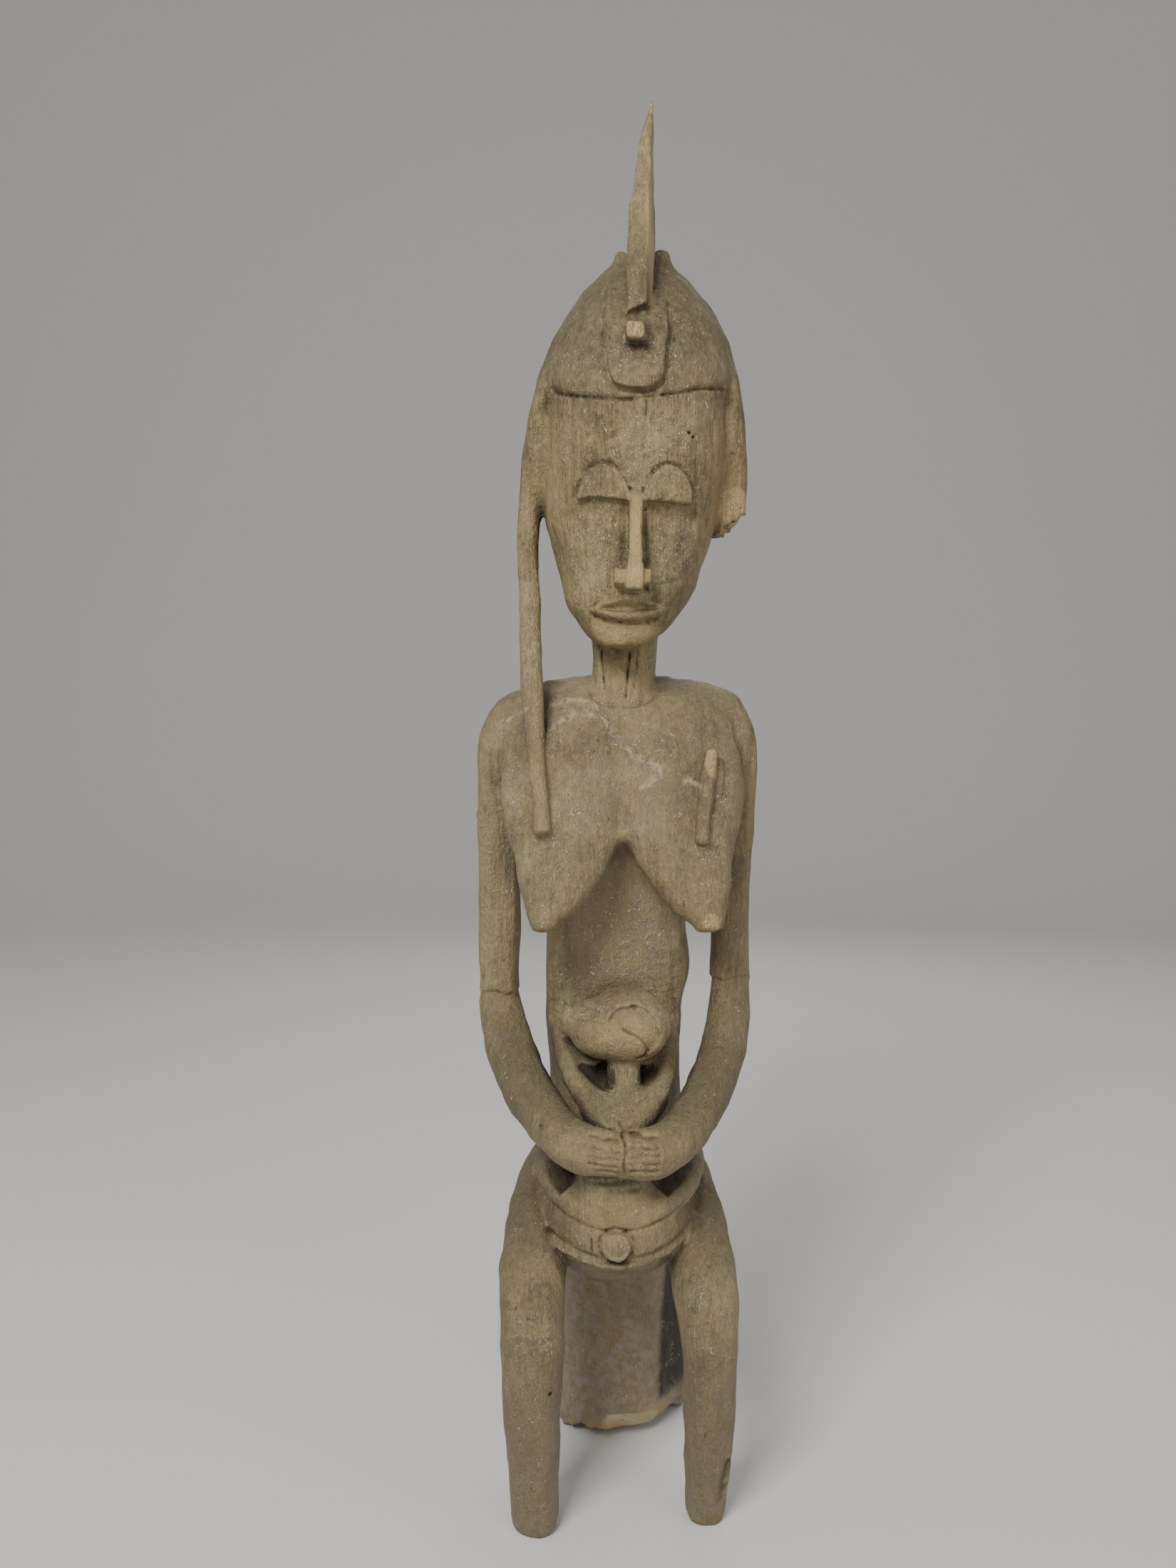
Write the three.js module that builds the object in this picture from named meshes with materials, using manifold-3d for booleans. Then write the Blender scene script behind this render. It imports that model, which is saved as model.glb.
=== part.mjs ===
// A carved wooden maternity figure: a mother sits on a round stool and holds a child to her front.
// The whole group is one carving from one log, so it is one solid.
// Millimetres. +Z is up, the mother looks along -Y, +X is to the right of someone who faces her.
// The origin is on the floor, under the middle of the figure's box.

import * as THREE from 'three';
import { mergeVertices } from 'three/addons/utils/BufferGeometryUtils.js';
import Module from 'manifold-3d';

const wasm = await Module();
wasm.setup();

// Driving dimensions.
const HEIGHT = 1120;            // floor to the tip of the horn
const RIM_CUT = 2.4;            // depth of the cut line along the rim of the cap
const PLATE_RISE = 4.4;         // how far the tongue-shaped plate stands off the cap
const LID_RISE = 5.4;           // how far the eyelids stand off the face
const FINGER_CUT = 1.8;         // width of the cuts between the fingers

// The pose and the carving are shares of the height: one share is a thousandth of it.
const SHARE = HEIGHT / 1000;
const WIDER = 600;              // a length in shares that is more than any width of the figure

// Smooth rows between the given ones, each column on a Catmull-Rom curve.
function smooth(rows, perSpan) {
  const result = [];
  const last = rows.length - 1;
  for (let i = 0; i < last; i++) {
    const before = rows[Math.max(i - 1, 0)];
    const after = rows[Math.min(i + 2, last)];
    for (let k = 0; k < perSpan; k++) {
      const t = k / perSpan;
      result.push(rows[i].map((p1, column) => {
        const p0 = before[column];
        const p2 = rows[i + 1][column];
        const p3 = after[column];
        const slope = p2 - p0;
        const bend = 2 * p0 - 5 * p1 + 4 * p2 - p3;
        const twist = 3 * (p1 - p2) + p3 - p0;
        return p1 + 0.5 * t * (slope + t * (bend + t * twist));
      }));
    }
  }
  result.push(rows[last].slice());
  return result;
}

// A manifold solid from any closed three.js geometry.
function solid(geometry) {
  const bare = new THREE.BufferGeometry();
  bare.setAttribute('position', geometry.getAttribute('position').clone());
  if (geometry.index) bare.setIndex(geometry.index.clone());
  const merged = mergeVertices(bare, 1e-4);
  return new wasm.Manifold(new wasm.Mesh({
    numProp: 3,
    vertProperties: Float32Array.from(merged.getAttribute('position').array),
    triVerts: Uint32Array.from(merged.index.array),
  }));
}

// A closed skin through rings that all have the same number of points, flat at both ends.
function skin(rings) {
  const count = rings[0].length;
  const points = rings.flat();
  const faces = [];
  for (let i = 0; i + 1 < rings.length; i++) {
    for (let j = 0; j < count; j++) {
      const a = i * count + j;
      const b = i * count + (j + 1) % count;
      faces.push(a, b, b + count, a, b + count, a + count);
    }
  }
  const closeEnd = (first, forward) => {
    const middle = new THREE.Vector3();
    for (let j = 0; j < count; j++) middle.add(points[first + j]);
    const centre = points.length;
    points.push(middle.divideScalar(count));
    for (let j = 0; j < count; j++) {
      const a = first + j;
      const b = first + (j + 1) % count;
      faces.push(centre, ...(forward ? [a, b] : [b, a]));
    }
  };
  const lastRing = (rings.length - 1) * count;
  closeEnd(0, false);
  closeEnd(lastRing, true);
  const geometry = new THREE.BufferGeometry().setFromPoints(points);
  let volume = 0;
  for (let i = 0; i < faces.length; i += 3) {
    const [a, b, c] = [points[faces[i]], points[faces[i + 1]], points[faces[i + 2]]];
    volume += a.dot(new THREE.Vector3().crossVectors(b, c));
  }
  if (volume < 0) faces.reverse();
  geometry.setIndex(faces);
  return solid(geometry);
}

// A rounded-square corner function: 2 is a circle, more is squarer.
function corner(value, squareness) {
  return Math.sign(value) * Math.abs(value) ** (2 / squareness);
}

// A body of level rings. Each row: height, middle x, middle y, half width, depth in front, depth behind,
// squareness. Grow moves the skin outwards, and lift raises a place by how far back and how high it is.
function stack(rows, sides, perSpan, grow = 0, lift = () => 0) {
  return skin(smooth(rows, perSpan).map(([z, x, y, side, front, back, square]) => {
    const ring = [];
    for (let j = 0; j < sides; j++) {
      const angle = (j / sides) * 2 * Math.PI;
      const across = corner(Math.cos(angle), square) * (side + grow);
      const deep = corner(Math.sin(angle), square) * ((Math.sin(angle) < 0 ? front : back) + grow);
      ring.push(new THREE.Vector3(x + across, y + deep, z + lift(y + deep, z)).multiplyScalar(SHARE));
    }
    return ring;
  }));
}

// A limb along a path. Each row: x, y, z, half width sideways, half width the other way. The first way is
// the direction nearest to aside at right angles to the path.
function limb(rows, sides, perSpan, aside = new THREE.Vector3(1, 0, 0)) {
  const fine = smooth(rows, perSpan);
  const places = fine.map(([x, y, z]) => new THREE.Vector3(x, y, z));
  let across = aside.clone();
  return skin(fine.map((row, i) => {
    const next = places[Math.min(i + 1, places.length - 1)];
    const previous = places[Math.max(i - 1, 0)];
    const ahead = next.clone().sub(previous).normalize();
    across = across.clone().addScaledVector(ahead, -across.dot(ahead)).normalize();
    const other = new THREE.Vector3().crossVectors(ahead, across);
    const ring = [];
    for (let j = 0; j < sides; j++) {
      const angle = ((j + 0.5) / sides) * 2 * Math.PI;
      const point = places[i].clone();
      point.addScaledVector(across, row[3] * Math.cos(angle));
      point.addScaledVector(other, row[4] * Math.sin(angle));
      ring.push(point.multiplyScalar(SHARE));
    }
    return ring;
  }));
}

// A rounded lump: middle and half sizes, in shares.
function lump(x, y, z, halfX, halfY, halfZ, detail = 10) {
  const ball = new THREE.SphereGeometry(1, detail, Math.ceil(detail * 0.6));
  ball.scale(halfX * SHARE, halfY * SHARE, halfZ * SHARE);
  ball.translate(x * SHARE, y * SHARE, z * SHARE);
  return solid(ball);
}

// A straight block: middle and full sizes, in shares, leaned about the X axis.
function block(x, y, z, wide, deep, high, lean = 0) {
  const box = new THREE.BoxGeometry(wide * SHARE, deep * SHARE, high * SHARE);
  box.rotateX(lean);
  box.translate(x * SHARE, y * SHARE, z * SHARE);
  return solid(box);
}

// The part of a body in front, inside an outline seen from the front (points x, z in shares).
function frontal(outline, body) {
  const reach = WIDER * SHARE;
  const shape = new THREE.Shape(outline.map(([x, z]) => new THREE.Vector2(x * SHARE, z * SHARE)));
  const prism = new THREE.ExtrudeGeometry(shape, { depth: reach, bevelEnabled: false });
  prism.rotateX(Math.PI / 2);
  return body.intersect(solid(prism));
}

const joinAll = (pieces) => pieces.reduce((whole, piece) => whole.add(piece));

// The stool: an upright round block, its front edge broken away at the bottom, more to the right.
const STOOL = { x: 2.6, y: 76, radius: 54, top: 158, chip: 9, chipDepth: 30, chipRoll: 0.11 };

function stool() {
  const { x, y, radius, top, chip, chipDepth, chipRoll } = STOOL;
  const drum = new THREE.CylinderGeometry(radius * SHARE, radius * SHARE, top * SHARE, 28);
  drum.rotateX(Math.PI / 2);
  drum.translate(x * SHARE, y * SHARE, (top / 2) * SHARE);
  const broken = new THREE.BoxGeometry(4 * radius * SHARE, 2 * chipDepth * SHARE, radius * SHARE);
  broken.translate(0, 0, (-radius / 2) * SHARE);
  broken.rotateY(-chipRoll);
  broken.translate(x * SHARE, (y - radius) * SHARE, chip * SHARE);
  return solid(drum).subtract(solid(broken));
}

// The mother's legs: thigh forward and down to the knee, then the shin to a rounded stump.
const LEGS = [
  [
    [-38, 42, 214, 24, 30], [-47, 12, 219, 26, 27], [-54, -20, 209, 25.5, 25], [-60, -50, 192, 24, 23],
    [-61.6, -76, 170, 22.8, 21], [-61.8, -84, 143, 22.2, 20.5], [-61.8, -83, 110, 21, 20],
    [-61.4, -80, 76, 19.6, 19], [-60.6, -74, 36, 18.2, 18], [-60, -71, 10, 17.6, 17.4],
    [-59.5, -70, 0, 14.5, 14.5],
  ],
  [
    [36, 42, 214, 24, 30], [43, 12, 219, 25, 27], [49.5, -20, 208, 25, 25], [56, -48, 189, 23.6, 23],
    [59.2, -71, 166, 22.2, 21], [61, -78, 140, 20, 20], [61.7, -76, 108, 18.5, 18.5],
    [61.8, -70, 66, 17.3, 17.3], [60.9, -64, 24, 15.4, 15.6], [60.6, -61, 8, 14.6, 14.8],
    [60.5, -60, 0, 12, 12.5],
  ],
];

// The trunk from the top of the shoulders down to the seat.
const TRUNK = [
  [599, 2, 6, 34, 8, 10, 2], [595, 1.5, 6, 56, 14, 17, 2.2], [589, 1, 5, 76, 22, 26, 2.4],
  [581, 0, 4, 86, 29, 32, 2.5], [568, -1, 3, 90, 36, 36, 2.6], [548, -1.5, 1, 88, 42, 40, 2.6],
  [520, -2, 0, 80, 50, 42, 2.6], [484, -1, 2, 60, 46, 42, 2.6], [445, -1.6, 4, 52, 33, 39, 2.8],
  [411, -1.4, 5, 51.6, 31, 37, 2.8], [382, -1.2, 5, 54, 30, 37, 2.8], [350, -3.8, 5, 51.4, 29, 39, 2.7],
  [318, -3.4, 6, 49.8, 30, 45, 2.6], [285, -2, 8, 50, 32, 54, 2.5], [255, -0.5, 14, 57, 38, 66, 2.4],
  [225, 0, 24, 63, 44, 78, 2.3], [195, 1, 32, 65, 44, 76, 2.3], [168, 2, 46, 60, 50, 60, 2.2],
  [150, 2, 64, 52, 46, 44, 2.2],
];

// The belly between the thighs, a bowl with a belt line round it.
const BELLY = [
  [246, -2, -10, 46, 44, 30, 2.2], [236, -2, -12, 54, 70, 34, 2.2], [224, -2, -12, 58, 82, 36, 2.2],
  [212, -2, -12, 59, 83, 38, 2.2],
  [202, -3, -12, 57, 81, 40, 2.2], [190, -4, -10, 53, 74, 40, 2.2], [178, -4, -8, 47, 60, 40, 2.2],
  [166, -4, -2, 39, 47, 40, 2.2], [154, -2, 14, 30, 34, 34, 2.2],
];

const BELT = [
  [-60, -32, 221, 2.6, 3], [-52, -60, 209.5, 2.6, 3], [-33, -80, 200, 2.6, 3], [-3, -90.5, 195.5, 2.8, 3.2],
  [26, -81, 200, 2.6, 3], [45, -62, 209, 2.6, 3], [57, -34, 220, 2.6, 3],
];

const NAVEL = [-3.6, -89.6, 210, 9.8, 8.6, 9.8];

// The breasts: long wedges that slope outwards and forwards to a flat-cut tip.
const BREASTS = [
  [
    [-34, -18, 570, 30, 9], [-38, -29, 547, 43, 14], [-40, -40, 517, 45, 17], [-40.2, -51, 488, 40.3, 18.5],
    [-42.4, -57, 468, 34, 18], [-48, -64, 447, 24.5, 16.5], [-52.6, -69.5, 431, 13.5, 13],
    [-52.6, -71.5, 423.6, 9.4, 9.4],
  ],
  [
    [34, -18, 570, 30, 9], [39, -29, 547, 43, 14], [42.5, -40, 517, 46, 17], [43.2, -51, 488, 40.5, 18.5],
    [46.6, -57, 468, 34, 18], [53, -64, 447, 24.4, 16.5], [58.6, -69.5, 431, 14, 13],
    [59.9, -71.5, 423.6, 9.8, 9.6],
  ],
];

// The arms: upper arm to a cut edge above the elbow, then the forearm round to the clasped hands.
const UPPER_ARMS = [
  [
    [-80, 4, 568, 12, 14], [-85, 3, 559, 15.5, 17], [-88, 2, 543, 16.8, 19], [-88.8, 1, 500, 16.8, 18],
    [-89, 0, 455, 16.2, 17], [-89.1, 0, 410, 15.4, 16.5], [-89, -1, 380, 15, 16], [-88.8, -2, 365, 15.8, 17],
  ],
  [
    [78, 4, 568, 12, 14], [83, 3, 559, 15.5, 17], [85, 2, 543, 16.8, 19], [83.8, 1, 500, 16.8, 18],
    [82.9, 0, 455, 15.6, 17], [82.4, 0, 410, 13.4, 16.5], [82, -1, 388, 14.4, 16], [81.8, -2, 376, 15.4, 17],
  ],
];

const FOREARMS = [
  [
    [-89, 0, 372, 12.5, 14], [-87.6, -2, 357, 15.4, 16], [-84.6, -9, 341, 17.2, 18],
    [-79, -21, 324, 18.6, 18.6], [-70, -38, 307.5, 18.6, 18.4], [-59, -56, 295, 17.6, 17.4],
    [-46, -76, 286, 16.6, 16.4], [-32, -93, 280, 16, 15.8], [-14, -103, 278.5, 15, 15.6],
    [2, -106, 278, 13.5, 14.6],
  ],
  [
    [82.4, 0, 384, 12.5, 14], [82, -2, 366, 14.6, 16], [80.4, -8, 346, 16, 18], [76, -20, 326, 17, 18.2],
    [67.5, -38, 310, 17.4, 17.6], [58, -55, 298, 17, 17], [45.5, -76, 287.5, 16.4, 16.4],
    [33, -93, 281, 16, 15.8], [15, -103, 278, 15, 16.6], [-2, -106, 278, 13.5, 15.6],
  ],
];

// The thick of the right hand.
const PALM = [15, -101, 272, 22, 13, 12.6];

// Cavities: two under the forearms and two beside the child's neck.
const LOW_CAVITIES = [
  [[-64, -44, 263, 3, 5], [-52, -56, 257, 6, 10], [-38, -66, 248, 8, 13], [-26, -68, 245, 8, 13]],
  [[60, -44, 263, 3, 5], [49, -56, 257, 5, 9], [36, -66, 250, 7, 12], [24, -68, 247, 7, 12]],
];
const NECK_CAVITIES = [
  [[-42, -40, 334, 3, 6], [-30, -48, 326, 6, 10], [-17, -56, 318, 8.4, 14], [-6, -56, 317.6, 8.4, 14]],
  [[34, -42, 328, 3, 5], [26, -50, 322, 4.4, 8], [17, -56, 317.4, 6, 11], [9, -56, 317, 6, 11]],
];

// The child: an oval head that points to one side, a neck, arms round the mother, a body and legs.
const CHILD_HEAD = [
  [-44, -53, 352.8, 2.6, 3], [-40.6, -54, 352, 6, 6], [-34.6, -56, 354.4, 13, 12.6],
  [-28, -57, 354.4, 17.6, 17.5], [-15.5, -58, 352.6, 23.2, 22], [-5.6, -59, 353.4, 25.9, 24.5],
  [6.9, -60, 353.5, 26, 25.5],
  [16.9, -60, 353.5, 24.4, 25], [24.3, -59, 353.8, 19.3, 21], [30.4, -58, 354, 10.6, 13],
  [32.6, -57.6, 354.2, 4.4, 6],
];

const CHILD_NECK = [
  [338, 2.3, -58, 13, 13, 20, 2], [322, 2.3, -60, 12.8, 13, 20, 2], [310, 2, -62, 14, 15, 20, 2],
  [298, 1.4, -62, 20, 22, 20, 2],
];

const CHILD_BODY = [
  [345, 0, 0, 40, 34, 14, 2.3], [334, -3.5, -8, 42, 42, 20, 2.3], [322, -2.6, -18, 38.6, 44, 24, 2.3],
  [311, -1.8, -30, 34.6, 44, 30, 2.3], [300, -0.4, -42, 29.6, 44, 34, 2.2], [291, 0, -50, 26, 46, 38, 2.2],
  [280, 0, -58, 27, 37, 38, 2.2], [262, -5.5, -62, 26, 32, 40, 2.3],
  [250, -6.5, -62, 26.4, 33.5, 40, 2.3], [238, -4, -62, 31, 35, 40, 2.2], [226, -2, -62, 31, 33, 40, 2.2],
  [219, -2, -62, 27, 26, 40, 2.2],
];

const CHILD_ARMS = [
  [
    [-40, 6, 344, 9, 9], [-39.5, -18, 338, 10, 9.5], [-37, -38, 328, 11, 9.5], [-31.5, -56, 314, 11, 9.5],
    [-22.5, -70, 302, 10.5, 9], [-12, -80, 292, 9, 8],
  ],
  [
    [36, 6, 342, 9, 9], [35, -18, 335, 10, 9.5], [32.5, -38, 325, 11, 9.5], [28.5, -56, 312, 11, 9.5],
    [22, -70, 301, 10.5, 9], [14, -80, 292, 9, 8],
  ],
];

const CHILD_LEGS = [
  [-47, 6, 248, 10, 12], [-50, -20, 243, 10.6, 12], [-48, -45, 240.4, 11, 12], [-38, -65, 236, 11, 13],
  [-21, -77, 232, 10.4, 14.4], [-2, -81, 231.6, 9.8, 15], [19, -77, 232, 10.4, 14.4], [37, -65, 237, 11, 13],
  [47, -45, 243, 11, 12], [50, -20, 247, 10.6, 12], [46, 6, 251, 10, 12],
];

// The neck: a round post cut with flat facets.
const NECK = [
  [646, 6, 2, 26, 27, 27, 2], [622, 4.4, -1, 24.3, 25, 25, 2], [600, 3.8, -3, 24, 25, 25, 2],
  [584, 3.4, -5, 24.4, 27, 27, 2], [572, 3, -5, 25, 28.6, 27, 2], [556, 3, -2, 26, 26, 28, 2],
];

// The head up to under the cap.
const HEAD = [
  [616.5, 0.5, -48, 13, 12, 14, 2.2], [621, 1.4, -45, 21, 17, 24, 2.2], [627, 2.2, -40, 28, 24, 34, 2.3],
  [636, 3.3, -32, 35.8, 34, 42, 2.3], [647, 4.2, -25, 42.5, 42, 48, 2.3], [658, 6, -18, 47, 50, 50, 2.3],
  [669, 6.8, -15, 50.4, 54, 55, 2.25], [690, 7.6, -12, 57, 59, 62, 2.2], [710, 7.8, -10, 61.5, 62, 66, 2.2],
  [731, 10, -8, 64.2, 65, 68, 2.2], [752, 11.8, -5, 66, 70, 67, 2.2], [778, 12, -5, 66, 70.6, 67, 2.2],
  [800, 12.4, -4, 64, 66, 64, 2.2],
];

// The cap: a pointed dome whose rim is a cut line over the forehead.
const CAP = [
  [777, 12.4, -4, 65.4, 70.6, 66.6, 2.2], [789, 12.6, -4, 68.6, 71.6, 68, 2.2],
  [798, 13, -4, 71, 70.4, 67.6, 2.15], [808, 13.6, -3, 71.4, 68, 66, 2.1],
  [822, 14, -1, 69.4, 65, 63, 2.05], [836, 14.4, 0, 65, 61, 60, 2], [850, 15, 2, 57.8, 56, 55, 2],
  [864, 15, 4, 49.8, 49, 48, 2], [877, 15, 5, 40.2, 39, 40, 2], [888, 15, 5, 29.6, 29, 30, 2],
  [896, 15.4, 5, 19, 19, 20, 2], [900, 15.4, 5, 10, 9, 10, 2],
];

// Its edge rises from the brow to the sides, and the rim is a cut line just above it.
const CAP_LIFT = { most: 15.4, front: -74, side: -20, level: 777, top: 822 };
const RIM = { level: 780.6, wide: 2.2, ring: [12.4, -4, 67, 71, 67.4, 2.2] };

function capLift(y, z) {
  const { most, front, side, level, top } = CAP_LIFT;
  return most * THREE.MathUtils.smoothstep(y, front, side) * Math.max(top - z, 0) / (top - level);
}

// The tongue-shaped plate on the front of the cap, seen from the front.
const PLATE = [
  [-11, 872], [-11.4, 850], [-11, 830], [-11, 812], [-10, 800], [-7.2, 791.4], [-3, 787.6], [3.3, 785.8],
  [12.9, 785.4], [20, 787], [25.3, 791], [28, 797.5], [28.4, 805], [29.4, 815], [31.4, 832], [32, 848],
  [31.4, 860], [31, 872],
];

// The horn: a four-sided spike, its lower end standing on the plate.
const HORN = [
  [11.2, -62, 846, 9.6, 11], [12.1, -57, 862, 10.4, 14], [13.1, -50, 885, 10.9, 15.5],
  [13.6, -44, 907, 10, 13], [14.8, -39.5, 928, 8.8, 10.5], [16.6, -35, 949, 7.4, 8.4],
  [18.4, -31, 971, 5.2, 6], [20.7, -27, 992, 2.7, 3], [21.6, -26, 1000, 1.2, 1.3],
];

// The square stub under the horn, broken off short: from its root to its end.
const STUB = [[10.6, -60, 825.6, 15, 12.2], [8.2, -86, 820.8, 9.5, 9.3]];

// Two small lugs at the crest, one on each side of the horn.
const LUGS = [[0.4, -8, 892, 11, 18, 16], [29.6, -8, 892.4, 11, 18, 16]];

// The braids that hang from the cap: one whole, one broken off short, and the rest of that one below.
const BRAIDS = [
  [
    [-47, -4, 820, 6, 16], [-52, -5, 809, 7, 24], [-54.6, -6, 797, 7, 28], [-58, -6, 777, 8.4, 25],
    [-61.8, -6, 752, 9.4, 18.5], [-64.2, -7, 727, 9.8, 13.5], [-65.9, -9, 708, 8.8, 10.4],
    [-65.9, -15, 679, 8.5, 9], [-64.4, -25, 637, 8, 8.6], [-63, -37, 596, 8.2, 8.4],
    [-60.7, -46, 555, 6.6, 7.6], [-58, -53, 532, 6, 7.6], [-55.9, -60, 510, 5.9, 7.6],
    [-54.4, -65.5, 495, 6, 7.6], [-53.6, -68, 488.5, 5.6, 7],
  ],
  [
    [74, -4, 820, 6, 16], [77, -5, 809, 7, 24], [79, -6, 796, 7.6, 28], [81, -6, 773, 9, 25],
    [82.6, -6, 752, 9.4, 19], [83, -7, 731, 9.4, 13], [82.6, -7, 718, 9, 10.4], [80, -7, 706, 7, 8.6],
  ],
  [
    [62.6, -46, 544, 5, 6.4], [61, -52, 524, 5.6, 7], [58.6, -58.5, 507, 5.4, 7], [55.8, -65, 490, 5, 7],
    [54.6, -68, 482, 4.6, 6.6],
  ],
];

// The face: heavy half-disc eyelids, a T-shaped nose and an almond mouth.
const EYELIDS = [
  { x: -13.2, z: 713.2, half: 17.9, high: 24.8 },
  { x: 32, z: 710.8, half: 17.2, high: 26.2 },
];
const LID = { points: 9, deep: 9, y: -67.5 };
const NOSE_RIDGE = [
  [10.6, -67, 724, 4.2, 4], [9.8, -72.6, 712, 4.4, 6], [8.9, -75.6, 688, 4.5, 8.4], [8.2, -78, 672, 5.2, 10],
  [7.9, -78.5, 661, 6.2, 11], [7.9, -78, 655, 6.2, 10.5],
];
const NOSTRILS = { x: 7.9, y: -73, z: 660.6, wide: 26, deep: 22, high: 12.4, lean: -0.14 };
const LIPS = [
  { x: 3.4, y: -62, z: 645, half: 23, deep: 11, high: 5 },
  { x: 3.6, y: -61, z: 636.6, half: 21.5, deep: 10.6, high: 4 },
];

function face() {
  const raised = stack(HEAD, 26, 1, LID_RISE / SHARE);
  const lids = EYELIDS.map(({ x, z, half, high }) => {
    const arc = [];
    for (let i = 0; i <= LID.points; i++) {
      const angle = (i / LID.points) * Math.PI;
      arc.push([x + half * Math.cos(angle), z + high * Math.sin(angle)]);
    }
    const bulge = lump(x, LID.y, z, half, LID.deep, high * 0.9, 10);
    const open = block(x, LID.y, z - high / 2, 4 * half, 8 * LID.deep, high);
    return frontal(arc, raised).add(bulge.subtract(open));
  });
  const { x, y, z, wide, deep, high, lean } = NOSTRILS;
  const mouth = LIPS.map((lip) => lump(lip.x, lip.y, lip.z, lip.half, lip.deep, lip.high, 8));
  return joinAll([...lids, limb(NOSE_RIDGE, 6, 1), block(x, y, z, wide, deep, high, lean), ...mouth]);
}

// The cut line along the rim: a thin ring that follows the cap's edge.
function rimCut() {
  const { level, wide, ring } = RIM;
  const depth = RIM_CUT / SHARE;
  const disc = (reach, grow) => {
    const rows = [[level - reach, ...ring], [level + reach, ...ring]];
    return stack(rows, 26, 1, grow, capLift);
  };
  return disc(wide / 2, depth).subtract(disc(wide, -depth));
}

// The plate fades out towards the lugs: how far it stands off the cap at a height.
const PLATE_FADE = { from: 832, to: 862, least: 0.2 };

function plateRows() {
  const { from, to, least } = PLATE_FADE;
  return CAP.map(([z, x, y, side, front, ...rest]) => {
    const share = 1 - (1 - least) * THREE.MathUtils.smoothstep(z, from, to);
    return [z, x, y, side + share * PLATE_RISE / SHARE, front + share * PLATE_RISE / SHARE, ...rest];
  });
}

function head() {
  const skull = stack(HEAD, 26, 1);
  const cap = stack(CAP, 26, 1, 0, capLift);
  const plate = frontal(PLATE, stack(plateRows(), 26, 1));
  const stub = limb(STUB, 4, 1);
  const horn = limb(HORN, 4, 2, new THREE.Vector3(3.5, -1, 0));
  const lugs = LUGS.map((size) => block(...size));
  const whole = joinAll([skull, cap, plate, stub, horn, ...lugs, face()]);
  return whole.subtract(rimCut());
}

// Finger lines: level cuts in the front of the clasped hands, and one upright cut between the hands.
const HANDS = { x: 0.5, front: -120, low: 267, pitch: 5.6, cuts: 4, deep: 10, gap: 2.5, reach: 24 };

function fingerCuts() {
  const { x, front, low, pitch, cuts, deep, gap, reach } = HANDS;
  const wide = FINGER_CUT / SHARE;
  const pieces = [block(x, front, low + pitch * (cuts - 1) / 2, wide, deep, pitch * (cuts + 1))];
  for (let i = 0; i < cuts; i++) {
    for (const side of [-1, 1]) {
      pieces.push(block(x + side * (gap + reach / 2), front, low + i * pitch, reach, deep, wide));
    }
  }
  return joinAll(pieces);
}

// The curl worn into the child's head.
const CURL = [
  [-11, -82, 351, 2, 3.4], [-5, -83, 360, 2, 4], [10, -84, 364, 2, 4], [24, -80, 360, 2, 4],
  [31, -74, 350, 2, 3.4],
];

const UP = new THREE.Vector3(0, 0, 1);
const cavities = (paths) => joinAll(paths.map((rows) => limb(rows, 6, 1, UP)));

// The mother's body with the child's on her lap. The cavities are cut before what overhangs them is joined.
function bodies() {
  const lap = joinAll([
    stack(TRUNK, 26, 1),
    stack(BELLY, 20, 1),
    limb(BELT, 6, 2, UP),
    ...LEGS.map((rows) => limb(rows, 12, 1)),
    limb(CHILD_LEGS, 8, 1, UP),
  ]);
  const seated = joinAll([
    lap.subtract(cavities(LOW_CAVITIES)),
    lump(...NAVEL, 10),
    stack(CHILD_BODY, 14, 1),
    ...CHILD_ARMS.map((rows) => limb(rows, 8, 1, UP)),
  ]);
  return joinAll([
    seated.subtract(cavities(NECK_CAVITIES)),
    stack(CHILD_NECK, 10, 1),
    limb(CHILD_HEAD, 12, 1, UP).subtract(limb(CURL, 5, 1)),
    ...BREASTS.map((rows) => limb(rows, 12, 1)),
    ...UPPER_ARMS.map((rows) => limb(rows, 10, 1)),
    ...FOREARMS.map((rows) => limb(rows, 12, 1)),
    lump(...PALM, 10),
    stack(NECK, 10, 1),
  ]);
}

// Everything joined, cut off level at the floor and centred on its box.
function figure() {
  const whole = joinAll([stool(), bodies(), head(), ...BRAIDS.map((rows) => limb(rows, 8, 1))]);
  const standing = whole.subtract(fingerCuts()).subtract(block(0, 0, -WIDER / 2, WIDER, WIDER, WIDER));
  const { min, max } = standing.boundingBox();
  return standing.translate([-(min[0] + max[0]) / 2, -(min[1] + max[1]) / 2, 0]);
}

function toGeometry(body) {
  const mesh = body.getMesh();
  const geometry = new THREE.BufferGeometry();
  geometry.setAttribute('position', new THREE.BufferAttribute(mesh.vertProperties, 3));
  geometry.setIndex(new THREE.BufferAttribute(mesh.triVerts, 1));
  geometry.computeVertexNormals();
  return geometry;
}

const weatheredWood = new THREE.MeshStandardMaterial({ color: 0x75685a, roughness: 0.85, metalness: 0 });
const carving = new THREE.Mesh(toGeometry(figure()), weatheredWood);
carving.name = 'figure';

const group = new THREE.Group();
group.add(carving);

export default group;
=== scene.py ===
"""Looks of a carved wooden maternity figure: a mother on a round stool holds a child to her front.

The whole group is one carving, so it is one piece. Its surface is modelled as a signed distance in shares
(a share is a thousandth of the height), built from the same named forms as the solid, with the fine carving,
cracks, breaks and wear added. The distance is turned into a mesh, thinned out and given a wood material.
"""

import itertools
import math
from concurrent.futures import ThreadPoolExecutor

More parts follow.
